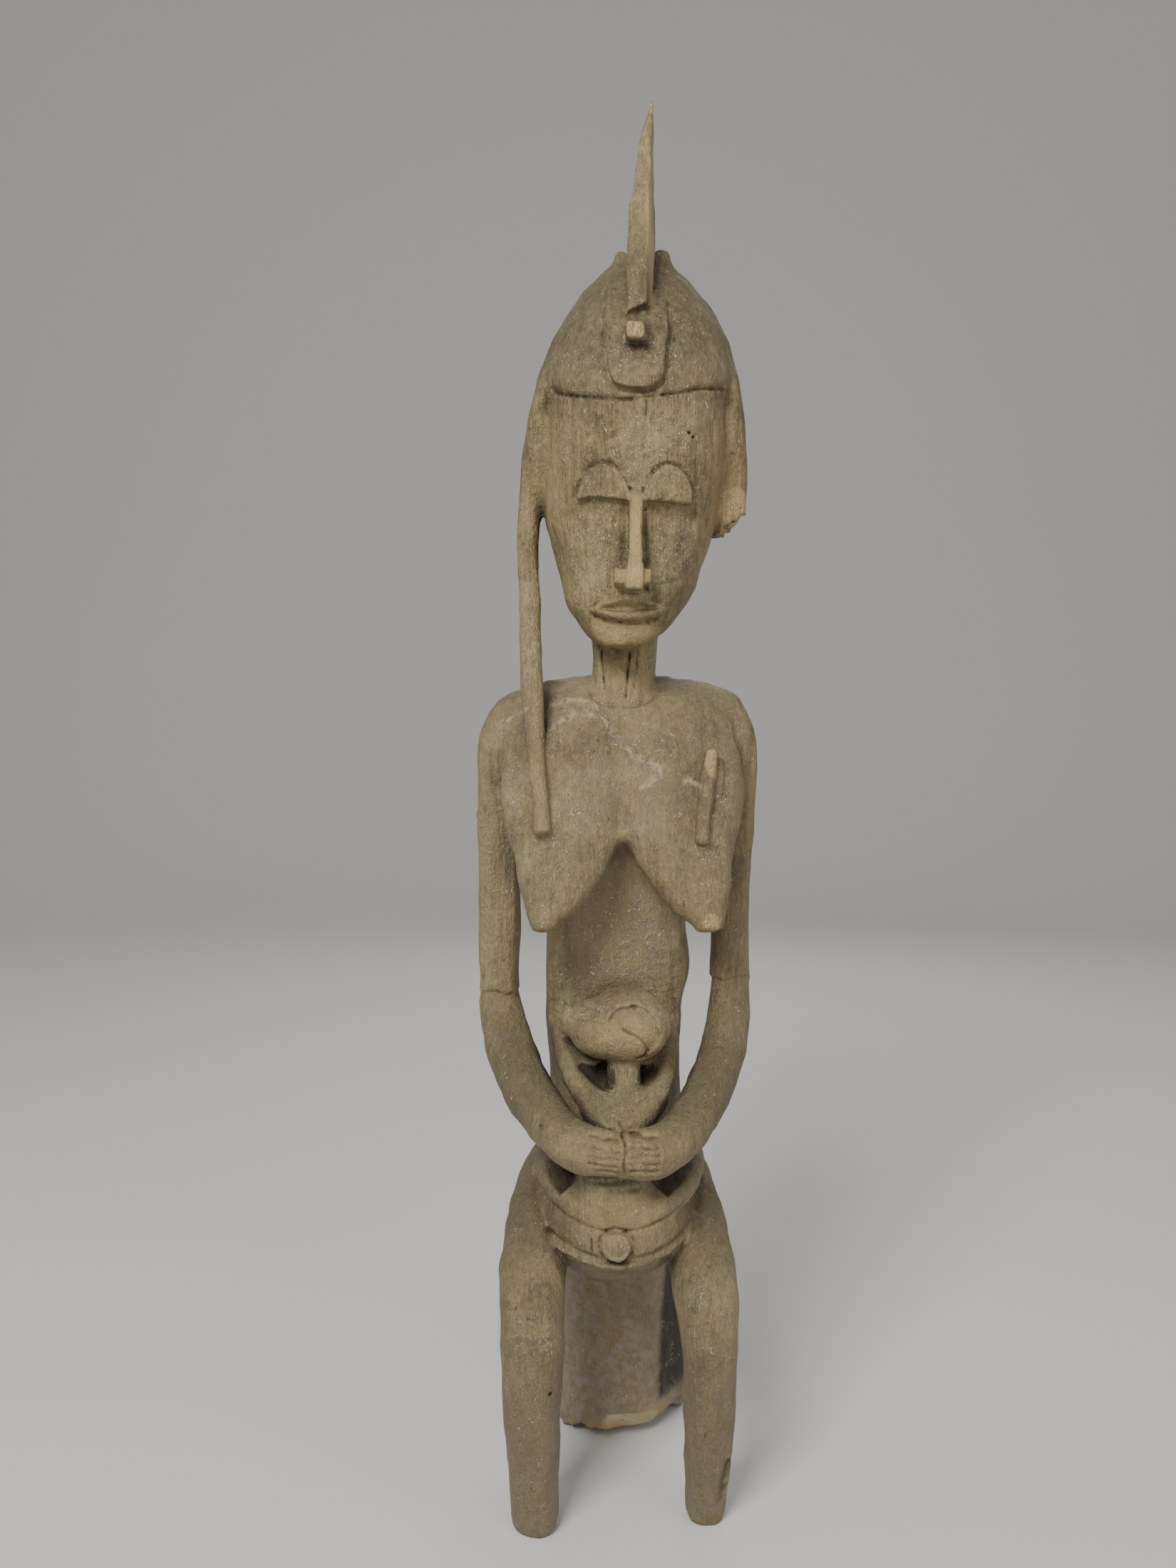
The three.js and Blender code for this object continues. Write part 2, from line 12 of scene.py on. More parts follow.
import bpy
import numpy as np
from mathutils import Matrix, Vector


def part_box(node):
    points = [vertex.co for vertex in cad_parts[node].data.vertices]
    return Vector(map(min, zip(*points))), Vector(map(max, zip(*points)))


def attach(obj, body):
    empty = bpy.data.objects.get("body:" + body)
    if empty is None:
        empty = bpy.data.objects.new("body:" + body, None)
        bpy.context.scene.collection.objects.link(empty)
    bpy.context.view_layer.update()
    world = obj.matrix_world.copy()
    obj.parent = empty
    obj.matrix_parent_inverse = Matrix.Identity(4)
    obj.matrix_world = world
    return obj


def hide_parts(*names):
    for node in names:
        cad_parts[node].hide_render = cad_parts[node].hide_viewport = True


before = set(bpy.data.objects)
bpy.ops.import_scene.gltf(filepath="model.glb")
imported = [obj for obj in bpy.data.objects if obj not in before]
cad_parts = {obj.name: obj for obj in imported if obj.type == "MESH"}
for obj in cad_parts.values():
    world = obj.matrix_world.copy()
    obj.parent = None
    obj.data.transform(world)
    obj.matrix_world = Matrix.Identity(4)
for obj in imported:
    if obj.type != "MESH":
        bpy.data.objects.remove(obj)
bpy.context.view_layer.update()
node_low, node_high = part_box("figure")

# The design frame: shares, the mother looks along -Y, +X is to the right of someone who faces her.
DESIGN_HEIGHT = 1000.18         # height of the solid in shares
DESIGN_MIDDLE = (-1.90, 5.13)   # middle of the solid's box in the design frame
SHARE = (node_high.z - node_low.z) / DESIGN_HEIGHT

# Fineness of the mesh and of its making.
STEP = 1.3       # spacing of the sampling grid where it is fine, in shares
WIDE_STEP = 1.6                         # how much wider it is elsewhere
REACH = ((-110, 106), (-124, 136), (-2.5 * STEP, 1004))     # what the grid spans along each axis
FINE = ([(-56, 76)], [], [(192, 388), (622, 862)])          # where it is fine along each axis
DETAIL_FRONT = -26                      # in front of this y and between these heights the carving is fine
DETAIL_Z = (188, 862)
PLAIN_PART = 0.36                       # the part of the triangles that is kept elsewhere
MOST_TRIANGLES = 196000
FAR = 24                                # distances are only known up to this, in shares
CLOSE = 11                              # the same, where only the surface itself is wanted
COARSE = 4                              # grid steps between the samples of the first pass
BLOCK = 24                              # grid steps along the side of a block that is sampled at once
WORKERS = 4


def metres(x, y, z):
    """A place in the design frame as a place in the row frame, in metres."""
    return Vector(((x - DESIGN_MIDDLE[0]) * SHARE, (y - DESIGN_MIDDLE[1]) * SHARE, z * SHARE))


# Smooth rows, blends and noise.

def smooth_rows(rows, per_span):
    """Rows between the given ones, each column on a Catmull-Rom curve."""
    rows = np.array(rows, float)
    last = len(rows) - 1
    result = []
    for i in range(last):
        p0, p1, p2, p3 = rows[max(i - 1, 0)], rows[i], rows[i + 1], rows[min(i + 2, last)]
        for k in range(per_span):
            t = k / per_span
            bend = 2 * p0 - 5 * p1 + 4 * p2 - p3
            twist = 3 * (p1 - p2) + p3 - p0
            result.append(p1 + 0.5 * t * (p2 - p0 + t * (bend + t * twist)))
    result.append(rows[last])
    return np.array(result)


def join(a, b, blend):
    """Smooth union of two distances."""
    near = np.maximum(blend - np.abs(a - b), 0) / blend
    return np.minimum(a, b) - near * near * blend / 4


def carve(a, b, blend):
    """Smooth intersection of two distances."""
    return -join(-a, -b, blend)


def fade(value, start, end):
    """From 0 at start to 1 at end, with soft ends."""
    t = np.clip((value - start) / (end - start), 0, 1)
    return t * t * (3 - 2 * t)


def hashed(ix, iy, iz, seed):
    """A repeatable value from 0 to 1 for each point of a whole-number lattice."""
    n = (ix * 73856093) ^ (iy * 19349663) ^ (iz * 83492791) ^ (seed * 40503 + 977)
    n = n.astype(np.uint32)
    n = (n ^ (n >> np.uint32(15))) * np.uint32(2246822519)
    n = (n ^ (n >> np.uint32(13))) * np.uint32(3266489917)
    return (n ^ (n >> np.uint32(16))).astype(np.float32) / np.float32(4294967296)


def noise(points, wavelength, seed):
    """Smooth noise from -1 to 1. The wavelength is one length or one for each axis, in shares."""
    scaled = points / np.array(wavelength, np.float32)
    base = np.floor(scaled)
    t = scaled - base
    t = t * t * (3 - 2 * t)
    cell = base.astype(np.int64)
    total = np.zeros(len(points), np.float32)
    for dx, dy, dz in itertools.product((0, 1), repeat=3):
        weight = t[:, 0] if dx else 1 - t[:, 0]
        weight = weight * (t[:, 1] if dy else 1 - t[:, 1])
        weight = weight * (t[:, 2] if dz else 1 - t[:, 2])
        total += weight * hashed(cell[:, 0] + dx, cell[:, 1] + dy, cell[:, 2] + dz, seed)
    return 2 * total - 1


def cells(points, size, seed):
    """Distance to the nearest seed of a jittered lattice, where 1 is one cell."""
    scaled = points / np.array(size, np.float32)
    base = np.floor(scaled).astype(np.int64)
    nearest = np.full(len(points), 9, np.float32)
    for shift in itertools.product((-1, 0, 1), repeat=3):
        cell = base + np.array(shift)
        gap = np.zeros(len(points), np.float32)
        for axis in range(3):
            place = cell[:, axis] + 0.15 + 0.7 * hashed(cell[:, 0], cell[:, 1], cell[:, 2], seed + axis)
            gap += (place - scaled[:, axis]).astype(np.float32) ** 2
        nearest = np.minimum(nearest, gap)
    return np.sqrt(nearest)


# Distances to simple forms. Each form has a box, low and high, outside which it is far away.

class Stack:
    """A body of level rings. Each row: height, middle x, middle y, half width, depth in front, depth behind,
    squareness. Facets cuts it into that many flat sides, turned by a share of a side. They fade in over
    the two heights of calm."""

    def __init__(self, rows, facets=0, turn=0.0, calm=(-2, -1)):
        fine = smooth_rows(rows, 6)
        self.rows = fine[np.argsort(fine[:, 0])]
        self.facets = facets
        self.turn = turn
        self.calm = calm
        z, x, y, side, front, back, _ = self.rows.T
        self.low = np.array([(x - side).min(), (y - front).min(), z.min()])
        self.high = np.array([(x + side).max(), (y + back).max(), z.max()])

    def ring(self, points, z):
        """Distance to the ring of a level, in that level."""
        levels, *columns = self.rows.T
        x, y, side, front, back, square = (np.interp(z, levels, column) for column in columns)
        dx = points[:, 0] - x + 1e-5
        dy = points[:, 1] - y
        depth = np.where(dy < 0, front, back)
        reach = (np.abs(dx / side) ** square + np.abs(dy / depth) ** square) ** (1 / square)
        if self.facets:
            width = 2 * math.pi / self.facets
            angle = np.arctan2(dy / depth, dx / side) / width + self.turn
            flat = np.cos((angle - np.round(angle)) * width) / math.cos(width / 3)
            reach = reach * (1 + (flat - 1) * fade(z, *self.calm))
        return np.hypot(dx, dy) * (1 - 1 / reach)

    def __call__(self, points):
        z = points[:, 2]
        level = self.ring(points, z)
        slope = (self.ring(points, z + 1) - self.ring(points, z - 1)) / 2
        side = level / np.sqrt(1 + slope * slope)
        return np.maximum(side, np.maximum(z - self.high[2], self.low[2] - z))


class Limb:
    """A limb along a path. Each row: x, y, z, half width sideways, half width the other way. Tips are how
    far the ends are rounded, square is the squareness of the section."""

    def __init__(self, rows, aside=(1, 0, 0), square=2.0, tips=(3, 3), per_span=3):
        fine = smooth_rows(rows, per_span)
        places = fine[:, :3]
        self.square = square
        self.starts = places[:-1]
        self.spans = places[1:] - places[:-1]
        self.lengths = (self.spans ** 2).sum(1)
        self.halves = fine[:, 3:5]
        self.tips = tips
        ways = np.gradient(places, axis=0)
        across = np.array(aside, float)
        self.frames = []
        for ahead in ways / np.linalg.norm(ways, axis=1)[:, None]:
            across = across - ahead * (across @ ahead)
            across = across / np.linalg.norm(across)
            self.frames.append(np.stack([across, np.cross(ahead, across), ahead], axis=1))
        self.frames = np.array(self.frames)
        widest = self.halves.max(1)[:, None]
        lows, highs = places - widest, places + widest
        self.span_lows = np.minimum(lows[:-1], lows[1:])
        self.span_highs = np.maximum(highs[:-1], highs[1:])
        self.low = lows.min(0)
        self.high = highs.max(0)

    def __call__(self, points, margin=FAR):
        count = len(self.spans)
        reached = (self.span_lows - margin < points.max(0)).all(1)
        reached &= (self.span_highs + margin > points.min(0)).all(1)
        if not reached.any():
            return np.full(len(points), float(FAR))
        best = np.full(len(points), 1e9)
        which = np.zeros(len(points), int)
        along = np.zeros(len(points))
        for i in np.flatnonzero(reached):
            offset = points - self.starts[i]
            t = np.clip(offset @ self.spans[i] / self.lengths[i], 0, 1)
            offset = offset - t[:, None] * self.spans[i]
            size = (offset ** 2).sum(1)
            closer = size < best
            best = np.where(closer, size, best)
            which = np.where(closer, i, which)
            along = np.where(closer, t, along)
        offset = points - self.starts[which] - along[:, None] * self.spans[which]
        share = along[:, None, None]
        frames = self.frames[which] * (1 - share) + self.frames[which + 1] * share
        local = np.einsum("ij,ijk->ik", offset, frames)
        half = self.halves[which] * (1 - along[:, None]) + self.halves[which + 1] * along[:, None]
        level = ((np.abs(local[:, :2] / half) + 1e-6) ** self.square).sum(1)
        length = np.sqrt((offset ** 2).sum(1))
        side = length - (np.hypot(local[:, 0], local[:, 1]) + 1e-6) / level ** (1 / self.square)
        tip = np.where((which == 0) & (along <= 0), self.tips[0], 0.0)
        tip = np.where((which == count - 1) & (along >= 1), self.tips[1], tip)
        beyond = np.abs(local[:, 2]) / np.where(tip > 0, tip, 1)
        reach = (level + beyond ** self.square) ** (1 / self.square)
        return np.where(tip > 0, length * (1 - 1 / reach), side)


class Lump:
    """A rounded lump: middle and half sizes."""

    def __init__(self, x, y, z, half_x, half_y, half_z):
        self.middle = np.array([x, y, z], float)
        self.halves = np.array([half_x, half_y, half_z], float)
        self.low = self.middle - self.halves
        self.high = self.middle + self.halves

    def __call__(self, points):
        offset = points - self.middle + 1e-5
        reach = np.sqrt(((offset / self.halves) ** 2).sum(1))
        return np.sqrt((offset ** 2).sum(1)) * (1 - 1 / reach)


class Block:
    """A straight block with softened edges: middle, full sizes, lean about X, roll about Y, edge radius."""

    def __init__(self, x, y, z, wide, deep, high, lean=0.0, roll=0.0, edge=1.0):
        self.middle = np.array([x, y, z], float)
        self.halves = np.array([wide, deep, high]) / 2 - edge
        self.edge = edge
        cl, sl, cr, sr = math.cos(lean), math.sin(lean), math.cos(roll), math.sin(roll)
        tilt = np.array([[1, 0, 0], [0, cl, -sl], [0, sl, cl]])
        swing = np.array([[cr, 0, sr], [0, 1, 0], [-sr, 0, cr]])
        self.turn = swing @ tilt
        reach = np.abs(self.turn) @ (self.halves + edge)
        self.low = self.middle - reach
        self.high = self.middle + reach

    def __call__(self, points):
        over = np.abs((points - self.middle) @ self.turn) - self.halves
        outside = np.sqrt((np.maximum(over, 0) ** 2).sum(1))
        return outside + np.minimum(over.max(1), 0) - self.edge


class Line:
    """A line drawn on the front, through points x, z: distance to it as seen from the front."""

    def __init__(self, points, per_span=4, closed=False):
        if closed:
            points = points[-1:] + points + points[:2]
        fine = smooth_rows(points, per_span)
        if closed:
            fine = fine[per_span:-per_span]
        self.points = fine
        self.closed = closed
        self.low = fine.min(0)
        self.high = fine.max(0)

    def flat(self, points):
        """Distance to the line and how far along it the nearest place is, from 0 to 1."""
        x, z = points[:, 0], points[:, 2]
        nearest = np.full(len(points), 1e9)
        along = np.zeros(len(points))
        steps = len(self.points) - 1
        for i in range(steps):
            a, b = self.points[i], self.points[i + 1]
            span = b - a
            t = np.clip(((x - a[0]) * span[0] + (z - a[1]) * span[1]) / (span @ span), 0, 1)
            gap = (x - a[0] - t * span[0]) ** 2 + (z - a[1] - t * span[1]) ** 2
            along = np.where(gap < nearest, (i + t) / steps, along)
            nearest = np.minimum(nearest, gap)
        return np.sqrt(nearest), along

    def inside(self, points):
        """Distance to the closed line, negative inside it."""
        x, z = points[:, 0], points[:, 2]
        within = np.zeros(len(points), bool)
        for a, b in zip(self.points[:-1], self.points[1:]):
            crosses = (a[1] > z) != (b[1] > z)
            rise = b[1] - a[1] if b[1] != a[1] else 1e-9
            within ^= crosses & (x < (b[0] - a[0]) * (z - a[1]) / rise + a[0])
        distance, _ = self.flat(points)
        return np.where(within, -distance, distance)


# The forms of the carving, in shares. Most of the rows are those of the solid.

STOOL = {"x": 2.6, "y": 76, "radius": 54.4, "top": 158, "chip": 9.5, "bevel": 25, "slant": 0.42}

LEGS = [
    [
        [-38, 42, 214, 24, 30], [-47, 12, 219, 26, 27], [-54, -20, 209, 25.5, 25], [-60, -50, 192, 24, 23],
        [-61.6, -76, 170, 22.8, 21], [-61.8, -84, 143, 22.2, 20.5], [-61.8, -83, 110, 21, 20],
        [-61.4, -80, 76, 19.6, 19], [-60.6, -74, 36, 18.2, 18], [-60, -71, 10, 17.6, 17.4],
        [-59.5, -70, 0, 14.5, 14.5],
    ],
    [
        [36, 42, 214, 24, 30], [43, 12, 219, 25, 27], [49.5, -20, 208, 25, 25], [56, -48, 189, 23.6, 23],
        [59.2, -71, 166, 22.2, 21], [61, -78, 140, 20, 20], [61.7, -76, 108, 18.5, 18.5],
        [61.8, -70, 66, 17.3, 17.3], [60.9, -64, 24, 15.4, 15.6], [60.6, -61, 8, 14.6, 14.8],
        [60.5, -60, 0, 12, 12.5],
    ],
]

TRUNK = [
    [599, 2, 6, 34, 8, 10, 2], [595, 1.5, 6, 56, 14, 17, 2.2], [589, 1, 5, 76, 22, 26, 2.4],
    [581, 0, 4, 86, 29, 32, 2.5], [568, -1, 3, 90, 36, 36, 2.6], [548, -1.5, 1, 88, 42, 40, 2.6],
    [520, -2, 0, 80, 50, 42, 2.6], [484, -1, 2, 60, 46, 42, 2.6], [445, -1.6, 4, 52, 33, 39, 2.8],
    [411, -1.4, 5, 51.6, 31, 37, 2.8], [382, -1.2, 5, 54, 30, 37, 2.8], [350, -3.8, 5, 51.4, 29, 39, 2.7],
    [318, -3.4, 6, 49.8, 30, 45, 2.6], [285, -2, 8, 50, 32, 54, 2.5], [255, -0.5, 14, 57, 38, 66, 2.4],
    [225, 0, 24, 63, 44, 78, 2.3], [195, 1, 32, 65, 44, 76, 2.3], [168, 2, 46, 60, 50, 60, 2.2],
    [150, 2, 64, 52, 46, 44, 2.2],
]

BELLY = [
    [246, -2, -10, 46, 44, 30, 2.2], [236, -2, -12, 54, 70, 34, 2.2], [224, -2, -12, 58, 82, 36, 2.2],
    [212, -2, -12, 59, 83, 38, 2.2], [202, -3, -12, 57, 81, 40, 2.2], [190, -4, -10, 53, 74, 40, 2.2],
    [178, -4, -8, 47, 60, 40, 2.2], [166, -4, -2, 39, 47, 40, 2.2], [154, -2, 14, 30, 34, 34, 2.2],
]

BELT = [
    [-60, -32, 216, 3, 3.4], [-51, -60, 204.6, 3, 3.6], [-33, -80, 199, 3, 3.8], [-3, -90.5, 196, 3.2, 4],
    [26, -81, 199.4, 3, 3.8], [44, -62, 205, 3, 3.6], [56, -34, 216, 3, 3.4],
]

NAVEL = {"x": -3.8, "y": -98, "z": 211, "radius": 10.4}

BREASTS = [
    [
        [-34, -18, 570, 30, 9], [-38, -29, 547, 43, 14], [-40, -40, 517, 45, 17],
        [-40.2, -51, 488, 40.3, 18.5], [-42.4, -57, 468, 34, 18], [-48, -64, 447, 24.5, 16.5],
        [-52.6, -69.5, 431, 13.5, 13], [-52.6, -71.5, 423.6, 9.4, 9.4],
    ],
    [
        [34, -18, 570, 30, 9], [39, -29, 547, 43, 14], [42.5, -40, 517, 46, 17],
        [43.2, -51, 488, 40.5, 18.5], [46.6, -57, 468, 34, 18], [53, -64, 447, 24.4, 16.5],
        [58.6, -69.5, 431, 14, 13], [59.9, -71.5, 423.6, 9.8, 9.6],
    ],
]

UPPER_ARMS = [
    [
        [-80, 4, 568, 12, 14], [-85, 3, 559, 15.5, 17], [-88, 2, 543, 16.8, 19], [-88.8, 1, 500, 16.8, 18],
        [-89, 0, 455, 16.2, 17], [-89.1, 0, 410, 15.4, 16.5], [-89, -1, 380, 15, 16],
        [-88.9, -2, 365, 15.6, 16.8],
    ],
    [
        [78, 4, 568, 12, 14], [83, 3, 559, 15.5, 17], [85, 2, 543, 16.8, 19], [83.8, 1, 500, 16.8, 18],
        [82.9, 0, 455, 15.6, 17], [82.4, 0, 410, 13.4, 16.5], [82, -1, 388, 14.4, 16],
        [81.8, -2, 376, 15.4, 17],
    ],
]

FOREARMS = [
    [
        [-89.4, 0, 372, 13.4, 15], [-88.6, -2, 357, 15.9, 16.4], [-85.4, -9, 341, 17.4, 18],
        [-79, -21, 324, 18.6, 18.6], [-70, -38, 307.5, 18.6, 18.4], [-59, -56, 295, 17.6, 17.4],
        [-46, -76, 286, 16.6, 16.4], [-32, -93, 280, 16, 15.8], [-14, -103, 278.5, 15, 15.6],
        [2, -106, 278, 13.5, 14.6],
    ],
    [
        [82.4, 0, 384, 13, 15], [82.2, -2, 366, 14.9, 16.2], [80.6, -8, 346, 16.2, 18],
        [76, -20, 326, 17, 18.2], [67.5, -38, 310, 17.4, 17.6], [58, -55, 298, 17, 17],
        [45.5, -76, 287.5, 16.4, 16.4], [33, -93, 281, 16, 15.8], [15, -103, 278, 15, 16.6],
        [-2, -106, 278, 13.5, 15.6],
    ],
]

CHILD_HEAD = [
    [-42, -53, 352.4, 4, 4], [-40, -54, 352, 6.6, 6.4], [-34.6, -56, 354.4, 13, 12.6],
    [-28, -57, 354.4, 17.6, 17.5], [-15.5, -58, 352.6, 23.2, 22], [-5.6, -59, 353.4, 25.9, 24.5],
    [6.9, -60, 353.5, 26, 25.5], [16.9, -60, 353.5, 24.4, 25], [24.3, -59, 353.8, 19.3, 21],
    [29, -58, 354, 13, 15],
]

CHILD_NECK = [
    [338, 2.3, -58, 13, 13, 20, 2], [322, 2.3, -60, 12.8, 13, 20, 2], [310, 2, -62, 14, 15, 20, 2],
    [298, 1.4, -62, 20, 22, 20, 2],
]

CHILD_BODY = [
    [345, 0, 0, 40, 34, 14, 2.3], [334, -3.5, -8, 42, 42, 20, 2.3], [322, -2.6, -18, 38.6, 44, 24, 2.3],
    [311, -1.8, -30, 34.6, 44, 30, 2.3], [300, -0.4, -42, 29.6, 44, 34, 2.2],
    [291, 0, -50, 26, 46, 38, 2.2], [280, 0, -58, 27, 37, 38, 2.2], [262, -5.5, -62, 26, 32, 40, 2.3],
    [250, -6.5, -62, 26.4, 33.5, 40, 2.3], [238, -4, -62, 31, 35, 40, 2.2], [226, -2, -62, 31, 33, 40, 2.2],
    [219, -2, -62, 27, 26, 40, 2.2],
]

CHILD_ARMS = [
    [
        [-40, 6, 344, 9, 9], [-39.5, -18, 338, 10, 9.5], [-37, -38, 328, 11, 9.5],
        [-31.5, -56, 314, 11, 9.5], [-22.5, -70, 302, 10.5, 9], [-12, -80, 292, 9, 8],
    ],
    [
        [36, 6, 342, 9, 9], [35, -18, 335, 10, 9.5], [32.5, -38, 325, 11, 9.5], [28.5, -56, 312, 11, 9.5],
        [22, -70, 301, 10.5, 9], [14, -80, 292, 9, 8],
    ],
]

# Two cavities under the forearms and two beside the child's neck.
LOW_CAVITIES = [
    [
        [-65, -42, 258.6, 2.4, 6], [-54, -52, 256.4, 5, 14], [-44, -60, 252.6, 8, 20],
        [-34, -66, 248.8, 10.4, 24],
    ],
    [[55, -44, 257, 2.4, 6], [44, -54, 254, 5, 14], [33, -62, 250.6, 6.8, 20], [23.6, -66, 247.4, 8.6, 24]],
]
NECK_CAVITIES = [
    [[-26, -58, 322, 2, 4], [-19, -60, 319, 5, 8], [-13, -60, 318, 8, 13], [-6, -60, 317.6, 8, 14]],
    [[21, -56, 320, 3, 6], [15, -58, 318, 5.4, 10], [9, -58, 317, 6, 11]],
]

LEVEL = (0, 0, 1)               # the first half width of these limbs is measured upwards
CAVITIES = [Limb(rows, aside=LEVEL, tips=(3, 3)) for rows in LOW_CAVITIES + NECK_CAVITIES]

CHILD_LEGS = [
    [-47, 6, 248, 10, 12], [-50, -20, 243, 10.6, 12], [-48, -45, 240.4, 11, 12], [-38, -65, 236, 11, 13],
    [-21, -77, 232, 10.4, 14.4], [-2, -81, 231.6, 9.8, 15], [19, -77, 232, 10.4, 14.4],
    [37, -65, 237, 11, 13], [47, -45, 243, 11, 12], [50, -20, 247, 10.6, 12], [46, 6, 251, 10, 12],
]

NECK = [
    [666, 6.4, 1, 23, 25, 26, 2], [646, 6, 2, 26, 27, 27, 2], [622, 4.4, -1, 24.3, 25, 25, 2],
    [600, 3.8, -3, 24, 25, 25, 2], [584, 3.4, -5, 24.4, 27, 27, 2], [572, 3, -5, 25, 28.6, 27, 2],
    [556, 3, -2, 26, 26, 28, 2],
]

HEAD = [
    [616.5, 0.5, -48, 13, 12, 14, 2.2], [621, 1.4, -45, 21, 17, 24, 2.2], [627, 2.2, -40, 28, 24, 34, 2.3],
    [636, 3.3, -32, 35.8, 34, 42, 2.3], [647, 4.2, -25, 42.5, 42, 48, 2.3], [658, 6, -18, 47, 50, 50, 2.3],
    [669, 6.8, -15, 50.4, 54, 55, 2.25], [690, 7.6, -12, 57, 59, 62, 2.2],
    [710, 7.8, -10, 61.5, 62, 66, 2.2], [731, 10, -8, 64.2, 65, 68, 2.2], [752, 11.8, -5, 66, 70, 67, 2.2],
    [778, 12, -5, 66, 70.6, 67, 2.2], [800, 12.4, -4, 64, 66, 64, 2.2],
]

CAP = [
    [777, 12.4, -4, 65.4, 70.6, 66.6, 2.2], [789, 12.6, -4, 68.6, 71.6, 68, 2.2],
    [798, 13, -4, 71, 70.4, 67.6, 2.15], [808, 13.6, -3, 71.4, 68, 66, 2.1],
    [822, 14, -1, 69.4, 65, 63, 2.05], [836, 14.4, 0, 65, 61, 60, 2], [850, 15, 2, 57.8, 56, 55, 2],
    [864, 15, 4, 49.8, 49, 48, 2], [877, 15, 5, 40.2, 39, 40, 2], [888, 15, 5, 29.6, 29, 30, 2],
    [896, 15.4, 5, 19, 19, 20, 2], [900, 15.4, 5, 10, 9, 10, 2],
]

CAP_LIFT = 12                   # how much higher the cap's edge lies at the sides than over the brow

# The tongue-shaped plate on the front of the cap. It fades out beside the horn.
PLATE_RISE = 4.8
PLATE = [
    [-11, 872], [-11.4, 850], [-11, 830], [-11, 812], [-10, 800], [-7.2, 791.4], [-3, 787.6], [3.3, 785.8],
    [12.9, 785.4], [20, 787], [25.3, 791], [28, 797.5], [28.4, 805], [29.4, 815], [31.4, 832], [32, 848],
    [31.4, 860], [31, 872],
]

HORN = [
    [10.8, -62, 836, 9.8, 10], [12.1, -56.4, 862, 10.8, 14], [13.1, -50, 885, 11.2, 15],
    [13.6, -44, 907, 11, 13], [14.8, -39.5, 928, 8.8, 10.5], [16.6, -35, 949, 7.4, 8.4],
    [18.4, -31, 971, 5.2, 6], [20.7, -27, 992, 2.7, 3], [21.6, -26, 999, 1.2, 1.3],
]
HORN_FLAT = 0.74                # half width of a four-sided section as a share of its corner's reach
HORN_FOOT = (836.4, 0.46)       # height of the slanting foot over x = 0, and its slope

# The stub of a broken peg: at its root and at its end, the middle and the half width and height.
STUB_ROOT = (10.5, -64, 825.4, 10.6, 8.6)
STUB_END = (8.2, -86, 820.8, 6.7, 6.6)
LUGS = [[0.4, -8, 892, 11, 18, 16], [29.6, -8, 892.4, 11, 18, 16]]

BRAIDS = [
    [
        [-47, -4, 820, 6, 16], [-52, -5, 809, 7, 24], [-54.6, -6, 797, 7, 28], [-58, -6, 777, 8.4, 25],
        [-61.8, -6, 752, 9.4, 18.5], [-64.2, -7, 727, 9.8, 13.5], [-65.9, -9, 708, 8.8, 10.4],
        [-65.9, -15, 679, 8.5, 9], [-64.4, -25, 637, 8, 8.6], [-63, -37, 596, 8.2, 8.4],
        [-60.7, -47, 555, 6.8, 7.8], [-58, -55, 532, 6.4, 8], [-55.9, -62.6, 510, 6.4, 8],
        [-54.4, -69, 495, 6.4, 8], [-53.6, -72, 488, 6.2, 7.6],
    ],
    [
        [74, -4, 820, 6, 16], [77, -5, 809, 7, 24], [79, -6, 796, 7.6, 28], [81, -6, 773, 9, 25],
        [82.6, -6, 752, 9.4, 19], [82, -7, 731, 10.4, 13], [80.6, -7, 714, 11.4, 11],
        [79.6, -7, 690, 11.6, 10],
    ],
    [
        [62.9, -49.6, 543, 4.8, 7], [60, -56, 524, 5.8, 8], [57.2, -62.6, 507, 6, 8],
        [55, -69.4, 490, 6, 8], [54.4, -72.6, 481.6, 5.6, 7],
    ],
]

# The face: heavy half-disc eyelids, a T-shaped nose and an almond mouth.
EYELIDS = [
    {"x": -12.8, "half": 18.4, "top": 738, "base": (714.2, 714.6, 714, 712.6, 711.2)},
    {"x": 31.6, "half": 17.8, "top": 737, "base": (711.2, 711, 711, 710.4, 710)},
]
LID_RISE = 6.2
NOSE_RIDGE = [
    [9.6, -67, 724, 4.6, 4], [9.1, -72.6, 712, 5.1, 6.4], [8.8, -75.6, 688, 5.2, 8.8],
    [8.6, -78, 672, 5.8, 10.4], [8.2, -78.5, 661, 6.6, 11.4], [8, -78, 654, 6.6, 11],
]
NOSTRILS = {
    "x": 7.2, "y": -73.5, "z": 659.6, "wide": 26.6, "deep": 23, "high": 12, "lean": -0.14, "edge": 1.5,
}
UPPER_LIP = (7.4, -65, 650, 15, 11, 9)      # middle and half sizes of its swelling under the nose
WRIST = (15, -101, 272, 22, 13, 12.6)       # the same for the heel of the hand
MOUTH = [
    [-23, 640.6], [-17, 645.4], [-9, 649.2], [2, 650.6], [12, 650], [21, 647.6], [32, 641], [25, 635],
    [15, 632.8], [4, 631.8], [-7, 632.6], [-16, 635.4],
]
MOUTH_RISE = 6.4
MOUTH_HOLLOW = [
    [-18, 641], [-9, 643.8], [2, 645.6], [12, 645.4], [20, 643.8], [28, 641.2], [16, 639], [4, 637.8],
    [-7, 638.4],
]


def by_height(below, above, low, high):
    """The width of a blend that changes with the height, from below at low to above at high."""
    return lambda points: below + (above - below) * fade(points[:, 2], low, high)


def cap_blend(lowest):
    """The width of a braid's blend, wide beside the brow alone."""
    rise = by_height(lowest, 12, 640, 740)
    return lambda points: rise(points) - 7.5 * fade(points[:, 2], 765, 800)


